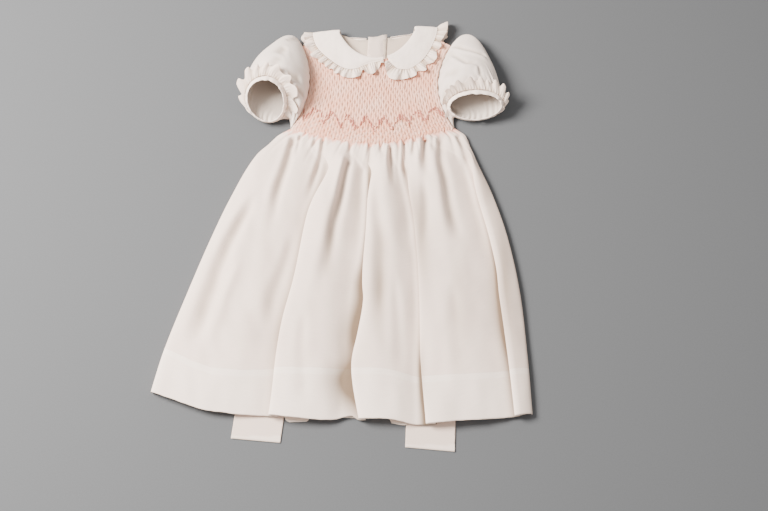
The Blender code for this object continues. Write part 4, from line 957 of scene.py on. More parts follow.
shade = np.zeros_like(folded)
controls_before = 2
for lobe, pleat, table in zip(LOBES, PLEATS, SHADES):
    controls_before += lobe[0] + 3
    under = np.arange(folded.shape[1]) < POINTS_PER_CONTROL * controls_before
    controls_before += 3
    strength, reach = through(table, rows)[:, 0, None], through(table, rows)[:, 1, None]
    edge_x = (ends_x[:, 0] + through(pleat, rows)[:, 0] * (ends_x[:, 2] - ends_x[:, 0]))[:, None]
    away = np.clip(edge_x - x - 1, 0, None) / reach
    shade = np.maximum(shade, strength * np.exp(-away * away) * under * (x > edge_x - 3 * reach))
    if pleat is PLEATS[2]:
        strength, reach = through(SHADE_AFTER, rows)[:, 0, None], through(SHADE_AFTER, rows)[:, 1, None]
        away = (x - edge_x - 5) / reach
        shade = np.maximum(shade, strength * np.exp(-away * away) * ~under)
shade = blurred(shade, 2)
shade = np.concatenate([shade, shade[TURNED_ROWS]])
print("pleats shaded:", len(SHADES))

# %% Painted shade in creases and valleys
# x and y of the middle of a valley with painted shade, its half width and half length, and the shade's
# strength
DIMMED = (
    (-19, -28, 8, 60, 0.42), (51, -95, 11, 65, 0.44), (166, -125, 18, 75, 0.26), (221, -96, 12, 80, 0.40),
    (22, 40, 7, 50, 0.25), (106, -215, 6, 40, 0.5), (-106, -60, 12, 55, 0.14),
)
# painted shade on the side strip past the last pleat, which lies in shade
past_last_pleat = ease((x - edge_x - 2) / 5) * ease(v / 0.15)
beside = np.clip(-0.034 * crease_depth, 0, 0.26) + np.clip(-0.05 * gathered, 0, 0.14)
beside = beside + 0.26 * past_last_pleat
for at_x, at_y, half_width, half_length, strength in DIMMED:
    beside += strength * np.exp(-(((x - at_x) / half_width) ** 2) - ((y - at_y) / half_length) ** 2)
# soft patches of painted shade, at random over the skirt
uneven = 0.01 + 0.09 * ripple(x, 0.4 * y, 75, 39) + 0.05 * ripple(x, 0.3 * y, 24, 40)
beside += np.clip(uneven, 0, 0.3) * ease(v / 0.1)
beside = np.concatenate([beside, beside[TURNED_ROWS]])
# painted shade wherever the cloth lies lower than its blurred surroundings, less near the waist
sunken = np.clip(blurred(grid[..., 2], 60) - grid[..., 2] - 0.5, 0, None) / 9.0
near_waist = np.concatenate([mix(0.5, 1.0, ease(v / 0.25)), np.ones_like(turned[..., 0])])
painted_shade = np.clip(sunken * near_waist + beside + shade, 0, 1)
print("mean hollow:", np.round(painted_shade.mean(), 2))

# %% The skirt's cloth
SKIRT_LENGTH, PINK_REACH = 391, 60  # mm
down = (v * SKIRT_LENGTH).clip(0, PINK_REACH)
fade = 9.0 + 5.0 * ripple(x, 0, 5, 38) - 5.0 * gathered
pinkness = 0.8 * (1 - ease(down / np.maximum(fade, 2.0)))
pinkness = np.concatenate([pinkness, np.zeros_like(turned[..., 0])])
# the second colour, #6b553c, is the brown of the painted shade
skirt_cloth = voile(
    "wool and cotton voile, hemmed and pressed, ivory", "#f5e0d3", "#6b553c", "#ffefe3",
    passes_light=0.12, painted_shade_share=0.92, hem=True, pink="#f09c80",
)
skirt_front = cloth_mesh("skirt_front_shell", grid, skirt_cloth, ["skirt_front"], painted_shade, hem, pinkness)
print("pink runs down to", np.round(down[pinkness[: len(down)] > 0.05].max()), "mm below the waist")

# %% [markdown]
# ## Puffed sleeves
# A puffed sleeve is cut wider than the armhole and the arm, and gathered at both ends, so it
# stands up like a balloon, and here it has fallen half flat. A straight tube would have to be
# pressed flat afterwards. Four rings do it at once: the armhole, two rings that pull the tube
# outwards, and the mouth. Each line along the sleeve is a Bezier curve with them as its controls.

# %% Sleeve shapes
SLEEVES = {
    "left": {
        "shoulder": Ring((-80, 334, 19.7), (-41.5, 220, 42), (-75, 159.7, 4), (-69, 218.6, 9.2)),
        "puff": Ring((-150, 246, 28), (-98, 242, 66), (-74.7, 189, 21.5), (-115.6, 183.5, 3)),
        "mouth": Ring((-140, 190, 28), (-109, 211, 50), (-82, 183, 28), (-110, 162, 5.6)),
    },
    "right": {
        "shoulder": Ring((187, 340, 15), (134, 219.5, 29.5), (156, 174, 3.2), (158.7, 218.6, 16)),
        "puff": Ring((222, 249, 21.5), (174, 241.5, 54), (150.5, 189, 19), (196.6, 185, 5.2)),
        "mouth": Ring((227, 182, 21), (188, 197, 35.5), (148, 181, 20), (186, 165, 5.4)),
    },
}
CLEAR_OF_PAPER = 0.4  # mm
# how square a ring's sides are: 1 is an oval
RING_BLUNTNESS = (0.4, 0.8, 0.9, 1.0)


def sleeve_point(side, angle, along):
    """Places on a sleeve's outside: the angle runs round it, along is 0 at the armhole."""
    shapes = SLEEVES[side]
    places = (ARMHOLES[side], shapes["shoulder"], shapes["puff"], shapes["mouth"])
    armhole, shoulder, puff, mouth = (ring_point(r, angle, b) for r, b in zip(places, RING_BLUNTNESS))
    a = along[..., None]
    rest = 1 - a
    point = armhole * rest**3 + shoulder * 3 * rest * rest * a + puff * 3 * rest * a * a + mouth * a**3
    point[..., 2] = np.maximum(point[..., 2], CLEAR_OF_PAPER)
    return point


def mouth_frame(side, angle):
    """Points of the mouth, the way outwards from its middle and the way out of the sleeve."""
    cap, front, under, back = np.array(SLEEVES[side]["mouth"], float)
    point = ring_point(SLEEVES[side]["mouth"], angle)
    after = ring_point(SLEEVES[side]["mouth"], angle + 0.01)
    axis = np.cross(cap - under, front - back)
    axis *= (1 if axis[1] < 0 else -1) / np.linalg.norm(axis)
    outwards = np.cross(after - point, axis)
    outwards /= np.linalg.norm(outwards, axis=-1, keepdims=True)
    facing = np.sign(np.sum(outwards * (point - (cap + front + under + back) / 4), axis=-1, keepdims=True))
    return point, outwards * facing, axis


girth = np.linspace(0, 2 * math.pi, 181)
for side in OUTWARD:
    around = ring_point(SLEEVES[side]["mouth"], girth)
    print(side, "mouth:", np.round(np.linalg.norm(np.diff(around, axis=0), axis=1).sum()), "mm round")

# %% [markdown]
# The gathers of a sleeve start at its two seams and die out on the puff. Over them lie a few slack
# creases. All of it is height along the surface's own normal, so that it works on the top, on the
# sides and underneath alike.

# %% Gathers and creases of a sleeve
SLEEVE_RADIUS, SLEEVE_LENGTH = 35, 90  # mm; a crease's path is drawn on the sleeve unrolled to these
SLEEVE_CREASES = {
    "left": (
        Crease(1.6, 3.5, 0.4, ((19, 34), (20, 27), (18, 18), (15, 8)), 0.2, 0.4),
        Crease(2.4, 5, 0.3, ((30, 38), (33, 46), (38, 54)), 0.3, 0.4),
        Crease(1.8, 6, 0.2, ((42, 50), (46, 62), (52, 74)), 0.3, 0.4),
        Crease(3.2, 5, 0.3, ((62, 30), (65, 46), (68, 60)), 0.3, 0.3),
        Crease(2.6, 4, 0.3, ((70, 16), (73, 34), (76, 48)), 0.2, 0.4),
        Crease(2.2, 6, 0.2, ((96, 10), (90, 34), (92, 60)), 0.2, 0.5),
        Crease(2.0, 6, 0.2, ((140, 15), (150, 60)), 0.3, 0.4),
        Crease(2.0, 6, 0.2, ((180, 20), (176, 66)), 0.3, 0.4),
    ),
    "right": (
        Crease(2.4, 2.0, 0.8, ((23, 8), (27, 22), (29, 39), (24, 52), (13, 59)), 0.2, 0.15),
        Crease(2.2, 2.2, 0.8, ((34, 18), (38, 34), (41, 47), (41, 56), (33, 62)), 0.2, 0.2),
        Crease(1.8, 2.4, 0.5, ((35, 65), (37, 70), (42, 78)), 0.25, 0.25),
        Crease(1.8, 5, 0.2, ((52, 20), (54, 42), (56, 60)), 0.2, 0.5),
        Crease(2.0, 6, 0.2, ((74, 16), (72, 50)), 0.2, 0.5),
        Crease(2.0, 6, 0.2, ((150, 15), (146, 60)), 0.3, 0.4),
        Crease(2.0, 6, 0.2, ((190, 20), (186, 66)), 0.3, 0.4),
    ),
}
# gathers round the sleeve, height in mm, 1 at the mouth, least and most reach along the sleeve
SLEEVE_GATHERS = ((34, 0.9, 0, 0.10, 0.42), (30, 1.1, 1, 0.10, 0.40))


def sleeve_relief(side, angle, along, seed):
    """Height in mm of the gathers and creases over the smooth tube."""
    wave = 0.35 * np.sin(3 * angle + seed) + 0.5 * np.sin(2 * angle)
    lift = np.zeros_like(angle)
    for count, height, at_mouth, low, high in SLEEVE_GATHERS:
        turn = count * angle / (2 * math.pi) + wave * ease(np.sin(angle / 2) * 3)
        number = np.floor(turn + 0.5) % count
        reach = mix(low, high, (number * GOLDEN_SHARE + 0.3 * at_mouth) % 1.0)
        start = 1 - along if at_mouth else along
        where = 1.0 if at_mouth else 0.35 + 0.65 * np.abs(np.cos(angle / 2))
        lift += height * np.cos(2 * math.pi * turn) * (1 - ease(start / reach)) * where
    lift += creased(SLEEVE_RADIUS * angle, SLEEVE_LENGTH * along, SLEEVE_CREASES[side])
    rolled = SLEEVE_LENGTH * along + SLEEVE_RADIUS * np.sin(angle)
    lift += 0.5 * ripple(SLEEVE_RADIUS * np.cos(angle), rolled, 30, seed)
    return lift * (ease(along / 0.03 + 0.2) * ease((1 - along) / 0.02 + 0.4))


print("creases on the sleeves:", {side: len(creases) for side, creases in SLEEVE_CREASES.items()})

# %% [markdown]
# The sleeve is one layer of the same voile. Light from above comes through it, which makes
# it a little brighter than the skirt. Its inside only gets what the cloth lets through, so its
# inner wall, which a Solidify modifier adds, has a greyer copy of the voile: painted shade,
# darkest away from the mouth.

# %% Sleeves
sleeve_voile = voile(
    "wool and cotton voile, single layer, ivory", "#f3e4da", "#b3a08c", "#f3e4da", passes_light=0.2
)
# the inner face is a greyer copy of the voile: painted shade
inner_wall_shaded = voile("wool and cotton voile, inner face, ivory in painted shade", "#dccfc4", "#b4a79c", "#b6aaa0", passes_light=0.12)
SLEEVE_COLUMNS, SLEEVE_ROWS = 201, 86


def grid_normals(grid, ring=False):
    """The way out of a grid's surface at each point; a ring closes on itself."""
    across, down = np.gradient(grid, axis=1), np.gradient(grid, axis=0)
    if ring:
        across[:, 0] = across[:, -1] = grid[:, 1] - grid[:, -2]
    normals = np.cross(across, down)
    return normals / np.maximum(np.linalg.norm(normals, axis=2, keepdims=True), 1e-9)


def sleeve(side):
    """A puffed sleeve from the armhole to its binding, with a wall and an inner face."""
    girth = np.linspace(0, 2 * math.pi, SLEEVE_COLUMNS)
    angle, along = np.meshgrid(girth, np.linspace(0, 1, SLEEVE_ROWS))
    grid = sleeve_point(side, angle, along)
    normals = grid_normals(grid, ring=True)
    turned = bool(np.sum(normals * (grid - grid.mean(axis=(0, 1)))) < 0)
    normals = -normals if turned else normals
    lift = sleeve_relief(side, angle, along, 41 if side == "left" else 43)
    grid = grid + normals * lift[..., None]
    if side == "left":
        # its shoulder has sunk a little towards the yoke
        flattened = np.exp(-(((grid[..., 0] + 114) / 26) ** 2) - ((grid[..., 1] - 284) / 26) ** 2)
        grid[..., 0] += 2.6 * flattened
        grid[..., 1] -= 2.2 * flattened
    grid[..., 2] = np.maximum(grid[..., 2], CLEAR_OF_PAPER)
    # painted shade in the troughs of the gathers and creases, and by the armhole seam
    painted_shade = np.clip(-lift / 2.6, 0, 1) * 0.7 + 0.4 * (1 - ease(along / 0.10))
    # on the inner wall the tone is painted shade, darker away from the mouth; the outer voile's two colours
    # are alike, so there it changes nothing
    tone = ease((1 - along) / 0.3)
    finishes = {"thickness": 0.5, "inner": inner_wall_shaded, "turned": turned}
    name = f"sleeve_{side}"
    made = cloth_mesh(f"{name}_shell", grid, sleeve_voile, [name], painted_shade, tone, **finishes)
    return made


sleeves = {side: sleeve(side) for side in OUTWARD}
tops = [round(1000 * max(point.co.z for point in made.data.vertices)) for made in sleeves.values()]
print("highest points of the sleeves:", tops, "mm")

# %% [markdown]
# ## Bias bindings
# The mouth's raw edge is bound with a strip cut on the bias, folded in four and stitched down. Four
# layers make it stiff and nearly opaque, and the stitches draw it in unevenly. A bevelled curve
# would be a perfect pipe, so the strip is a flattened tube whose width and place waver. The collar
# is made of layers too, and gets the same finish.

# %% Bindings
binding = voile(
    "wool and cotton voile, folded in layers, ivory", "#f7e6db", "#bc9c7e", "#f6e2d4",
    weave=0.4, crumple=0.15, passes_light=0.05,
)
BAND_LEAN = math.radians(26)
BAND_HALF_WIDTH, BAND_HALF_THICKNESS = 3.7, 0.85  # mm


def band_frame(side, angle):
    """Points of the mouth, and the binding's two directions: down its width and out of its face."""
    point, outwards, axis = mouth_frame(side, angle)
    along = axis * math.cos(BAND_LEAN) - outwards * math.sin(BAND_LEAN)
    across = outwards * math.cos(BAND_LEAN) + axis * math.sin(BAND_LEAN)
    return point, along, across


def sleeve_band(side):
    """The bias binding round a sleeve's mouth, drawn in towards its edge, and its stitching."""
    girth = np.linspace(0, 2 * math.pi, SLEEVE_COLUMNS)
    angle, turn = np.meshgrid(girth, np.linspace(0, 2 * math.pi, 19))
    point, along, across = band_frame(side, angle)
    round_x, round_y = SLEEVE_RADIUS * np.cos(angle), SLEEVE_RADIUS * np.sin(angle)
    pinch = 1 + 0.16 * ripple(round_x, round_y, 9, 45)
    wobble = 1.1 * ripple(round_x, round_y, 11, 46)
    half_width, half_thick = BAND_HALF_WIDTH * pinch, BAND_HALF_THICKNESS * pinch
    middle = point + along * (4.4 + wobble)[..., None] + across * (0.7 + 0.4 * wobble)[..., None]
    flat = np.copysign(np.abs(np.cos(turn)) ** 0.5, np.cos(turn))
    flat = flat * (1 + 0.25 * np.sin(turn) ** 2 * (np.cos(turn) > 0))
    grid = middle + along * (half_width * np.sin(turn))[..., None] + across * (half_thick * flat)[..., None]
    made = cloth_mesh(f"sleeve_band_{side}_bound", grid, binding, [f"sleeve_band_{side}"])
    point, along, across = band_frame(side, np.linspace(0, 2 * math.pi, 121))
    line = point + along * 1.3 + across * 1.65
    starts, ends = mix(line[:-1], line[1:], 0.12), mix(line[:-1], line[1:], 0.78)
    add_threads(f"sleeve_band_{side}_stitching", starts, ends, 0.15, ivory_thread, 0.1)
    return made


bands = {side: sleeve_band(side) for side in OUTWARD}
print("bindings:", 2 * BAND_HALF_WIDTH, "mm wide")

# %% [markdown]
# ## Frills
# A frill is a narrow strip, gathered to about half its length along one edge. Its folds are never
# alike: they lean over, and they vary in width. An Array of one fold would show its repeat, so the
# widths are drawn at random between two limits and their sum is fitted to the seam. A frill
# is one thin layer, so it lets much of the light through and looks the brightest of all.

# %% Folds of a frill
frill = voile(
    "wool and cotton voile, gathered in a frill, ivory", "#f9e8dc", "#b08f69", "#f6e2d4",
    crumple=0.12, passes_light=0.22,
)


def uneven_folds(at, length, least, most, seed):
    """Phase and relative size, at places along a length in mm, of folds of uneven widths."""
    chance = np.random.default_rng(seed)
    widths = []
    while sum(widths) < length:
        widths.append(chance.uniform(least, most))
    ends = np.concatenate([[0], np.cumsum(widths)])
    ends *= length / ends[-1]
    sizes = np.interp(at, (ends[1:] + ends[:-1]) / 2, np.array(widths) * 2 / (least + most))
    return 2 * math.pi * np.interp(at, ends, np.arange(len(ends))), sizes


def frill_folds(turn, pitch):
    """Height and sideways slide of a frill's folds, which lean over their own hollows."""
    lift = np.sin(turn) + 0.22 * np.sin(2 * turn + 1.0 + 0.15 * turn)
    return lift, -0.03 * pitch * np.sin(2 * turn)


print("folds drawn for a 100 mm seam:", round(uneven_folds(100.0, 100.0, 6.0, 19.0, 1)[0] / (2 * math.pi)))

# %% Sleeve frills
# folds, their height, the frill's width and how far it stands off at the inner side
SLEEVE_FRILLS = {"left": (14, 3.4, 15.0, 3.0), "right": (19, 2.7, 12.5, 4.0)}
# the girth and radius that the folds are spaced on, which are a little larger than the built
# mouth's, and the cloth's thickness, in mm
FRILL_GIRTH, FRILL_RADIUS, FRILL_THICKNESS = 230, 36, 0.3


def sleeve_ruffle(side):
    """The frill behind the binding: it flares out, and lies back under the sleeve."""
    waves, fold, widest, stand = SLEEVE_FRILLS[side]
    pitch = FRILL_GIRTH / waves
    angle, out = np.meshgrid(np.linspace(0, 2 * math.pi, waves * 24 + 1), np.linspace(0, 1, 17))
    freedom = ease(2 * np.cos(angle + math.radians(15)) - 0.6)
    inner = ease(1.8 * np.cos(angle - math.radians(160)) - 0.5)
    seed = 51 if side == "left" else 52
    seam = FRILL_RADIUS * angle
    turn, swell = uneven_folds(seam, 2 * FRILL_RADIUS * math.pi, 0.55 * pitch, 1.45 * pitch, seed)
    wave, slide = frill_folds(turn, pitch)
    at = angle + slide * out * swell / FRILL_RADIUS
    _, outwards, axis = mouth_frame(side, at)
    last, before = sleeve_point(side, at, 1 + 0 * at), sleeve_point(side, at, 0.9 + 0 * at)
    length = np.linalg.norm(last - before, axis=-1) / 0.1
    # underneath, the frill lies flat between the sleeve and the paper
    lowness = ease((-np.sin(at) - 0.5) / 0.5)[..., None]
    off = outwards * mix(0.8, 1.0, lowness) + axis * mix(0.6, 0.0, lowness)
    off /= np.linalg.norm(off, axis=-1, keepdims=True)
    low = lowness[..., 0]
    width = widest * (1 - 0.2 * inner + 0.1 * freedom) * mix(1.0, 0.8, low)
    flare, swing = mix(5.0, 0.4, low) + 5.0 * freedom + stand * inner, mix(fold, 0.3, low) * swell
    pucker = 1.2 * np.sin(58 * angle + 1.5 * np.sin(4 * angle)) * np.exp(-(((out - 0.16) / 0.24) ** 2))
    edge = 0.15 * wave * swell + 0.05 * np.sin(9 * angle + seed)
    reach = 0.3 + width * out * (1 + edge)
    lift = 1.5 + out * flare + out**0.7 * swing * wave + 0.5 * pucker * (1 - low)
    lift = lift + 0.5 * np.sin(math.pi * out)
    grid = sleeve_point(side, at, 1 - reach / length) + off * lift[..., None]
    grid[..., 2] = np.maximum(grid[..., 2], 0.75 + 0.3 * out * (1 + wave))
    # painted shade near the seam and in the troughs between the folds
    painted_shade = np.clip(0.35 * (1 - ease(out / 0.35)) + 0.42 * (-0.1 - 0.9 * wave) * (1.1 - 0.5 * out), 0, 1)
    name = f"sleeve_ruffle_{side}"
    made = cloth_mesh(f"{name}_frill", grid, frill, [name], painted_shade, thickness=FRILL_THICKNESS)
    return made


sleeve_ruffles = {side: sleeve_ruffle(side) for side in OUTWARD}
print("folds of the sleeve frills:", {side: frills[0] for side, frills in SLEEVE_FRILLS.items()})

# %% [markdown]
# ## The collar
# A flat round collar is cut in two halves. Each is sewn in at the neck, turns over there in a soft
# roll, and runs over the shoulder to the centre back. It could be bent over with a Shrinkwrap
# modifier, but that flattens the roll. So the collar is drawn twice in plan, its neck seam and its
# outer edge, and a cross-section with the roll's height is swept between the two.

# %% Neck seam and outer edge
TURN_DROP = 6.0  # mm from the shoulder's fold, where the edge's two tables meet
# share, x and drop from the shoulder fold: negative down the front, positive down the back
COLLAR_FRONT = {
    "left": (
        (0.00, 56.0, -55.0), (0.10, 46, -57), (0.22, 33, -59.5), (0.36, 16, -66.5), (0.46, 4, -66),
        (0.60, -11, -57.5), (0.76, -29, -41.5), (0.90, -42, -24), (1.00, -47.5, -TURN_DROP),
    ),
    "right": (
        (0.00, 63.5, -55.5), (0.10, 69, -62), (0.22, 78, -69.5), (0.36, 92, -71),
        (0.50, 105, -64), (0.64, 116, -53), (0.78, 125, -38), (0.90, 132, -21),
        (1.00, 136, -TURN_DROP),
    ),
}
COLLAR_BACK = {
    "left": (
        (0.00, -47, TURN_DROP), (0.20, -40, 24), (0.45, -20, 48), (0.68, 4, 58), (0.86, 24, 50),
        (1.00, 32, 22),
    ),
    "right": (
        (0.00, 133, TURN_DROP), (0.20, 128, 24), (0.45, 112, 48), (0.68, 92, 58), (0.86, 74, 50),
        (1.00, 66, 22),
    ),
}
# directions from the neck's middle, in degrees: start, front turn, back turn, end
NECK_SWEEPS = {"left": (81, 168, 202, 254), "right": (75, 12, -22, -71)}


def neck_seam(degrees):
    """x and drop of the neck's seam, at directions from the neck's middle."""
    angle = np.radians(degrees)
    sine = np.sin(angle)
    x = NECK_CENTRE_X + NECK_HALF_WIDTH * np.cos(angle)
    front = -NECK_DEPTH_FRONT * np.abs(sine) ** 1.4 - COLLAR_ROLL * sine
    return np.stack([x, np.where(sine > 0, front, (NECK_DEPTH_BACK + COLLAR_ROLL) * -sine)], -1)


def collar_stations(side, front_columns, turn_columns, back_columns):
    """Neck seam and outer edge, as (x, drop), from the centre front to the centre back."""
    start, turn, leave, end = NECK_SWEEPS[side]
    share = np.linspace(0, 1, front_columns + 1)
    front = neck_seam(mix(start, turn, share)), through(COLLAR_FRONT[side], share)
    share = np.linspace(0, 1, back_columns + 1)
    back = neck_seam(mix(leave, end, share)), through(COLLAR_BACK[side], share)
    over = []
    for before, after in zip(front, back):
        share = np.linspace(0, 1, turn_columns + 2)[1:-1, None]
        between = mix(before[-1], after[0], share)
        between[:, 1] = mix(-TURN_DROP, TURN_DROP, share[:, 0])
        over.append(np.vstack([before, between, after]))
    return over


for side in OUTWARD:
    seam = neck_seam(np.linspace(NECK_SWEEPS[side][0], NECK_SWEEPS[side][-1], 200))
    print(side, "half's neck seam:", np.round(np.linalg.norm(np.diff(seam, axis=0), axis=1).sum()), "mm")

# %% Over the shoulder
SHOULDER_TURN, COLLAR_CLEARANCE, BACK_COLLAR_LIFT = 8.0, 1.9, 3.7  # mm


def over_shoulder(x, drop, height):
    """Places outside the yokes, wrapped from the front over the shoulder fold."""
    fold = np.where(np.abs(x - NECK_CENTRE_X) < NECK_HALF_WIDTH, neck_fold_y(x), shoulder_y(x))
    half = SHOULDER_TURN / 2
    front_y = fold + np.minimum(drop, -half)
    top = yoke_height(x, front_y) + COLLAR_CLEARANCE
    bottom = BACK_COLLAR_LIFT - 0.35
    turn = math.pi * np.clip((drop + half) / SHOULDER_TURN, 0, 1)
    middle, radius = (top + bottom) / 2, (top - bottom) / 2 + height
    turned_y = fold - half + (half * 0.7 + height) * np.sin(turn)
    y = np.where(drop <= -half, front_y, np.where(drop >= half, fold - drop, turned_y))
    z = np.maximum(middle + radius * np.cos(turn), 0.6)
    return np.stack([np.broadcast_to(x, z.shape), y, z], -1)


def collar_section(neck, far, back):
    """The cross-section's points: distance from the neck seam, and height over the yoke."""
    roll, rim = mix(1.0, 0.8, back), mix(1.0, 0.8, back)
    rim_shown = 2.4 * back * ease((neck[:, 1] - 8) / 5)
    inward = 2.4 + rim_shown - 1.6 * np.exp(-((neck[:, 1] / 12) ** 2))
    corners = (
        (-0.9 - rim_shown, -0.8 * roll), (-inward, 0.2 * roll), (-inward, 1.6 * roll),
        (0 * far - 0.6, 2.7 * roll), (far * 0.22, 2.8 * roll), (far * 0.5, 2.3 * roll),
        (far * 0.8, 1.5 * roll), (far, rim),
    )
    section = np.stack([np.stack(corner, -1) for corner in corners])
    return spline_through(list(section.reshape(len(section), -1)), 5).reshape(-1, len(far), 2)


print("the collar stands", COLLAR_CLEARANCE, "mm off the yoke")

# %% Collar halves
def collar(side):
    """Half of the collar, two layers of voile, with its seam pressed in along the edge."""
    neck, edge = collar_stations(side, 90, 20, 56)
    run = edge - neck
    length = np.linalg.norm(run, axis=1, keepdims=True)
    far = length[:, 0]
    section = collar_section(neck, far, ease((neck[:, 1] + 4) / 8))
    plan = neck + run / length * section[..., :1]
    x, drop = plan[..., 0], plan[..., 1]
    seed = 61 if side == "left" else 62
    uneven = 0.5 * ripple(x, drop, 26, seed) + 0.16 * ripple(x, drop, 9, seed + 2)
    height = section[..., 1] + uneven * ease(section[..., 0] / far * 4)
    seam = np.exp(-(((far - section[..., 0] - 2.2) / 1.0) ** 2))
    grid = over_shoulder(x, drop, height - 0.35 * seam)
    # painted shade along the seam by the edge and in a band just inside it
    painted_shade = 0.1 * seam + 0.1 * np.exp(-(((far - section[..., 0] - 5) / 4) ** 2))
    made = cloth_mesh(f"collar_{side}_half", grid, binding, [f"collar_{side}"], painted_shade, thickness=0.7)
    return made


collars = {side: collar(side) for side in OUTWARD}
print("collar halves:", len(collars))

# %% [markdown]
# The collar's frill is gathered more tightly than the sleeves', with folds from 6 to 19 mm wide.
# Where the collar's edge bends, the frill has nowhere to go and tucks itself under, so a table
# says where it loses part of its width. Over the shoulder it is held down between the collar and
# the paper, and it hardly waves at all.

# %% Collar frills
# where the collar frill tucks back between its lobes: x, and how much of its width it loses
FRILL_TUCKS = {
    "left": ((52, 0.45), (23, 0.55), (-2, 0.22), (-11, 0.3), (-22, 0.28), (-31, 0.25), (-40, 0.2)),
    "right": ((59, 0.3), (101, 0.42), (112, 0.38), (124, 0.32), (131, 0.34), (137, 0.2)),
}
COLLAR_FOLD, NARROWEST_FOLD, WIDEST_FOLD = 12.5, 6.0, 19.0  # mm
# the frill's width in mm on most of the edge, and near the centre front
COLLAR_FRILL_WIDTHS = {"left": (15.0, 19.0), "right": (15.5, 19.0)}


def collar_ruffle(side):
    """A frill gathered onto a collar half's outer edge."""
    neck, edge = collar_stations(side, 240, 40, 180)
    lengths = np.concatenate([[0], np.linalg.norm(np.diff(edge, axis=0), axis=1).cumsum()])
    waves = round(lengths[-1] / COLLAR_FOLD)
    columns = np.linspace(0, 1, waves * 30 + 1)
    seed = 63 if side == "left" else 64
    goal = columns * lengths[-1]
    turn, swell = uneven_folds(goal, lengths[-1], NARROWEST_FOLD, WIDEST_FOLD, seed)
    wave, slide = frill_folds(turn, COLLAR_FOLD)
    wave = wave + 0.2 * ripple(goal, 0 * goal, 4.5, seed + 9)
    out = np.linspace(0, 1, 17)[:, None]
    taper = mix(0.38, 1.0, ease(np.minimum(columns, 1 - columns) * waves / 1.5))
    goal = goal + slide * swell * out * taper
    place, ahead, behind = (
        np.stack([np.interp(goal + step, lengths, edge[:, k]) for k in (0, 1)], -1) for step in (0, 3, -3)
    )
    run = ahead - behind
    run /= np.linalg.norm(run, axis=-1, keepdims=True)
    away = np.stack([run[..., 1], -run[..., 0]], -1) * OUTWARD[side]
    drop = place[..., 1]
    back = ease((drop + 4) / 8)
    at_fold = (1.5 if side == "left" else 5.0) * np.exp(-(((drop + 1) / 9) ** 2))
    near_centre = ease((40 - np.abs(place[..., 0] - NECK_CENTRE_X - 8)) / 22) * (1 - back)
    pucker = 1.3 * np.sin(2 * math.pi * goal / 3.4 + 2 * ripple(goal, 0 * goal, 18, seed + 4))
    pucker = pucker * np.exp(-(((out - 0.2) / 0.3) ** 2))
    rise = mix(mix(0.9, 3.4, out), mix(0.8, 1.4, out), back)
    swing = mix(2.7, 0.4, back) * out**0.7 * wave * swell
    tucks = (deep * np.exp(-(((place[..., 0] - x) / 3.2) ** 2)) for x, deep in FRILL_TUCKS[side])
    tucked = sum(tucks) * (1 - back)
    wide = (1 - tucked) * (1 + 0.05 * at_fold) * mix(*COLLAR_FRILL_WIDTHS[side], near_centre) * taper * out
    wide *= 1 + 0.08 * wave * swell + 0.07 * ripple(goal, 0 * goal, 26, seed + 6)
    if side == "left":
        # it is held in beside the left shoulder
        wide *= 1 - 0.32 * np.exp(-(((drop - 6) / 20) ** 2)) * ease((10 - place[..., 0]) / 20) * (1 - back)
    spot = place + away * (0.2 + wide)[..., None]
    height = rise + swing - 2.2 * tucked * out + 0.5 * pucker + 0.5 * np.sin(math.pi * out)
    height = height + at_fold * out * (1 + 0.3 * wave)
    grid = over_shoulder(spot[..., 0], spot[..., 1], height)
    # painted shade near the seam, between the folds and where the frill tucks under
    painted_fold_shade = 0.3 * (1 - ease(out / 0.35)) + 0.4 * (-0.1 - 0.9 * wave) * swell * (1.1 - 0.5 * out)
    painted_shade = np.clip(painted_fold_shade + 1.2 * tucked, 0, 1)
    name = f"collar_ruffle_{side}"
    made = cloth_mesh(f"{name}_frill", grid, frill, [name], painted_shade, thickness=FRILL_THICKNESS)
    return made


collar_ruffles = {side: collar_ruffle(side) for side in OUTWARD}
print("points in each collar frill:", [len(made.data.vertices) for made in collar_ruffles.values()])

# %% [markdown]
# ## The back, the sash and the buttons
# These pieces lie underneath, and only their edges show. Drawing them again would gain nothing, so
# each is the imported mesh, cut finer where it shows. Cutting only the edges that are too long keeps
# the mesh light. A small function then moves what differs on the sewn piece: two short folds of
# the back hem, and the neckline's edge inside the collar.

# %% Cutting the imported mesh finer
FINE_EDGE, COARSE_EDGE, MOST_POINTS, CUTTING_ROUNDS = 3.0, 9.0, 30000, 7  # mm, mm


def cut_finer(mesh, edge_y):
    """A bmesh of the mesh with no edge over 9 mm, or over 3 mm on the hem's side of edge_y."""
    bm = bmesh.new()
    bm.from_mesh(mesh)
    bmesh.ops.remove_doubles(bm, verts=bm.verts, dist=1e-6)
    for _ in range(CUTTING_ROUNDS):
        long = []
        for edge in bm.edges:
            middle_y = 500 * (edge.verts[0].co.y + edge.verts[1].co.y)
            fine = edge_y is not None and middle_y < edge_y
            if edge.calc_length() * 1000 > (FINE_EDGE if fine else COARSE_EDGE):
                long.append(edge)
        if not long or len(bm.verts) > MOST_POINTS:
            break
        bmesh.ops.subdivide_edges(bm, edges=long, cuts=1)
        bmesh.ops.triangulate(bm, faces=bm.faces)
    return bm


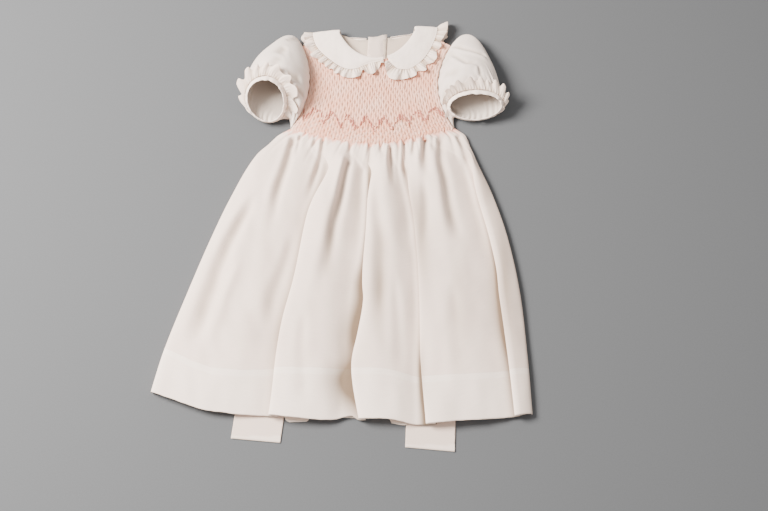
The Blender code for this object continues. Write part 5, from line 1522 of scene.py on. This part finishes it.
def refined(node, finish, swell=0.25, edge_y=None, reshape=None, hem=None, painted_shade=None):
    """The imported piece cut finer, with soft ripples and its own reshaping."""
    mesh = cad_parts[node].data.copy()
    bm = cut_finer(mesh, edge_y)
    at = np.array([vert.co for vert in bm.verts]) * 1000
    if reshape:
        at = reshape(at)
    at[:, 2] = np.maximum(at[:, 2] + swell * ripple(at[:, 0], at[:, 1], 38, 71), 0.0)
    for vert, place in zip(bm.verts, at):
        vert.co = place / 1000
    bm.to_mesh(mesh)
    bm.free()
    mesh.shade_smooth()
    mesh.set_sharp_from_angle(angle=math.radians(50))
    mesh.materials.clear()
    mesh.materials.append(finish)
    made = bpy.data.objects.new(f"{node}_cloth", mesh)
    bpy.context.scene.collection.objects.link(made)
    keep_values(made, "cloth", "FLOAT_VECTOR", at * (1, 1, 0))
    keep_values(made, "painted_shade", "FLOAT", np.zeros(len(at)) if painted_shade is None else painted_shade(at))
    keep_values(made, "tone", "FLOAT", np.zeros(len(at)) if hem is None else hem(at))
    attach(made, BODY)
    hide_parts(node)
    return made


print("edges up to", COARSE_EDGE, "mm, and", FINE_EDGE, "mm where the cloth shows")

# %% What differs on the sewn pieces
def back_hem(at):
    """The back hem drops below the front one in two short folds."""
    x, y = at[:, 0], at[:, 1] - SHIFT_Y
    drop = -7.2 * ease((x + 79) / 7) * ease((-40 - x) / 5)
    drop = drop + 5.5 * ease((x - 36) / 8) * ease((66.5 - x) / 2.5)
    at[:, 1] += drop * ease((-y - 215) / 50)
    return at


def placket_top(at):
    """The placket stands a little over the back's neckline, uneven like a folded edge."""
    top = at[:, 1].max()
    rise = 4.2 + 0.7 * ripple(at[:, 0], 0 * at[:, 0], 14, 72) + 4.0 * ease((at[:, 0] - 48) / 10)
    at[:, 1] += rise * ease((at[:, 1] - top + 9) / 9)
    flat = 4.6 + 0.2 * (at[:, 2] - at[:, 2].min())
    at[:, 2] = mix(at[:, 2], flat, ease((at[:, 0] - 50) / 9))
    return at


def back_neckline(at):
    """The back's neckline climbs to the shoulder under the collar's roll."""
    top = at[:, 1] > 270
    at[:, 1] += 5.0 * np.exp(-(((at[:, 0] + 5) / 11) ** 2)) * ease((at[:, 1] - 284) / 12) * top
    at[:, 2] -= 0.9 * ease((at[:, 0] - 57) / 4)
    return at


def lapped_corner(at):
    """The corner of the back that lies under the placket reaches up to its edge."""
    at[:, 1] += 2.6 * ease((69 - at[:, 0]) / 4) * ease((at[:, 1] - 288) / 10) * (at[:, 0] > 54)
    return at


def neck_shade(at):
    """Painted shade: the back lies in the collar's shade near the neck."""
    return 0.66 * ease((at[:, 1] - 255) / 20)


def sash_hem(at):
    """1 in the turning at a sash's end, 9 mm deep, where the cloth is three layers thick."""
    y = at[:, 1]
    return ease((y.min() + 9.5 - y) / 0.8)


print("pieces with a shape of their own:", len((back_hem, placket_top, back_neckline, lapped_corner)))

# %% Back, placket and sash
# The back panels lie under another layer, so less light comes through them than through the sash.
ivory = voile("wool and cotton voile, double layer, ivory", "#ecd8cb", "#a58f76", "#f9e8dc")
lining = voile("wool and cotton voile, back panel, ivory", "#eedccf", "#a58f76", "#f6e8de", passes_light=0.1)
back_pieces = {
    "skirt_back": refined("skirt_back", lining, 0.2, -225, back_hem),
    "back_yoke_left": refined(
        "back_yoke_left", lining, 0.1, None, back_neckline, painted_shade=neck_shade
    ),
    "back_yoke_right": refined(
        "back_yoke_right", lining, 0.1, None, lapped_corner, painted_shade=neck_shade
    ),
    "back_placket": refined("back_placket", ivory, 0.0, None, placket_top),
    "sash_left": refined("sash_left", ivory, 0.08, -260, hem=sash_hem),
    "sash_right": refined("sash_right", ivory, 0.08, -260, hem=sash_hem),
}
print("points:", {name: len(made.data.vertices) for name, made in back_pieces.items()})

# %% [markdown]
# The three buttons are discs cut from river shell and polished. They are hidden under the back,
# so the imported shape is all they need. The polish gives them a low roughness and a thin clear
# coat, which the eye reads as a wet gloss, and the shell's layers show as a soft grain 8 mm across.

# %% Buttons
shell = plain_finish(
    "river shell, cut and polished", "#e9e4da", 0.22, grain=0.12, depth=0.00003, **{"Coat Weight": 0.4}
)
for number in (1, 2, 3):
    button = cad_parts[f"button_{number}"]
    button.data.materials.clear()
    button.data.materials.append(shell)
print("materials:", len(bpy.data.materials))

# %% [markdown]
# ## Floor, light and camera
# The dress lies on plain grey paper. One broad soft lamp from the upper left models the folds, a
# weak one and a bright surrounding fill the shadows, and the camera looks down from the hem side.
# A sun lamp would draw hard edges in every fold; a disk nearly a metre wide leaves them soft.

# %% Floor
FLOOR_HALF, FLOOR_DROP = 4.0, 0.0005  # metres; the floor lies just under the cloth


def add_floor():
    mesh = bpy.data.meshes.new("floor")
    corners = [(sx * FLOOR_HALF, sy * FLOOR_HALF, 0) for sx, sy in ((-1, -1), (1, -1), (1, 1), (-1, 1))]
    mesh.from_pydata(corners, [], [(0, 1, 2, 3)])
    floor = bpy.data.objects.new("floor", mesh)
    bpy.context.scene.collection.objects.link(floor)
    floor.location.z = -FLOOR_DROP
    # Uncoated paper is a felt of fibres, so it is quite matt. Its tooth is drawn at 2 mm, coarser
    # than the real one, which would be too fine to show.
    mesh.materials.append(plain_finish("uncoated paper, grey", "#56585b", 0.9, grain=0.5, depth=0.00002))


add_floor()
print("floor:", 2 * FLOOR_HALF, "m wide")

# %% Lamps
def look(made, place, aim):
    """Puts a lamp or a camera at a place, facing another."""
    made.location = place
    made.rotation_euler = (Vector(aim) - Vector(place)).to_track_quat("-Z", "Y").to_euler()
    bpy.context.scene.collection.objects.link(made)


def add_area(name, place, size, energy, tint):
    light = bpy.data.lights.new(name, "AREA")
    light.shape, light.size, light.energy, light.color = "DISK", size, energy, tint
    look(bpy.data.objects.new(name, light), place, (0, 0, 0))


add_area("key", (-1.3, 0.28, 1.4), 0.95, 180, (1.0, 0.955, 0.90))
add_area("fill", (1.4, -1.0, 2.0), 2.0, 6, (1.0, 0.97, 0.94))
world = bpy.data.worlds.new("studio")
world.use_nodes = True
world.node_tree.nodes["Background"].inputs["Color"].default_value = (1.0, 0.965, 0.93, 1.0)
world.node_tree.nodes["Background"].inputs["Strength"].default_value = 0.88
bpy.context.scene.world = world
print("lamps:", len(bpy.data.lights))

# %% Camera
CAMERA_PLACE, CAMERA_AIM = (0.057, -0.81617, 1.9187), (0.057, -0.04417, 0.008)
camera = bpy.data.cameras.new("camera")
camera.lens, camera.sensor_width = 70.0, 36.0
viewpoint = bpy.data.objects.new("camera", camera)
look(viewpoint, CAMERA_PLACE, CAMERA_AIM)
bpy.context.scene.camera = viewpoint
print("camera:", np.round((Vector(CAMERA_AIM) - Vector(CAMERA_PLACE)).length, 2), "m away")
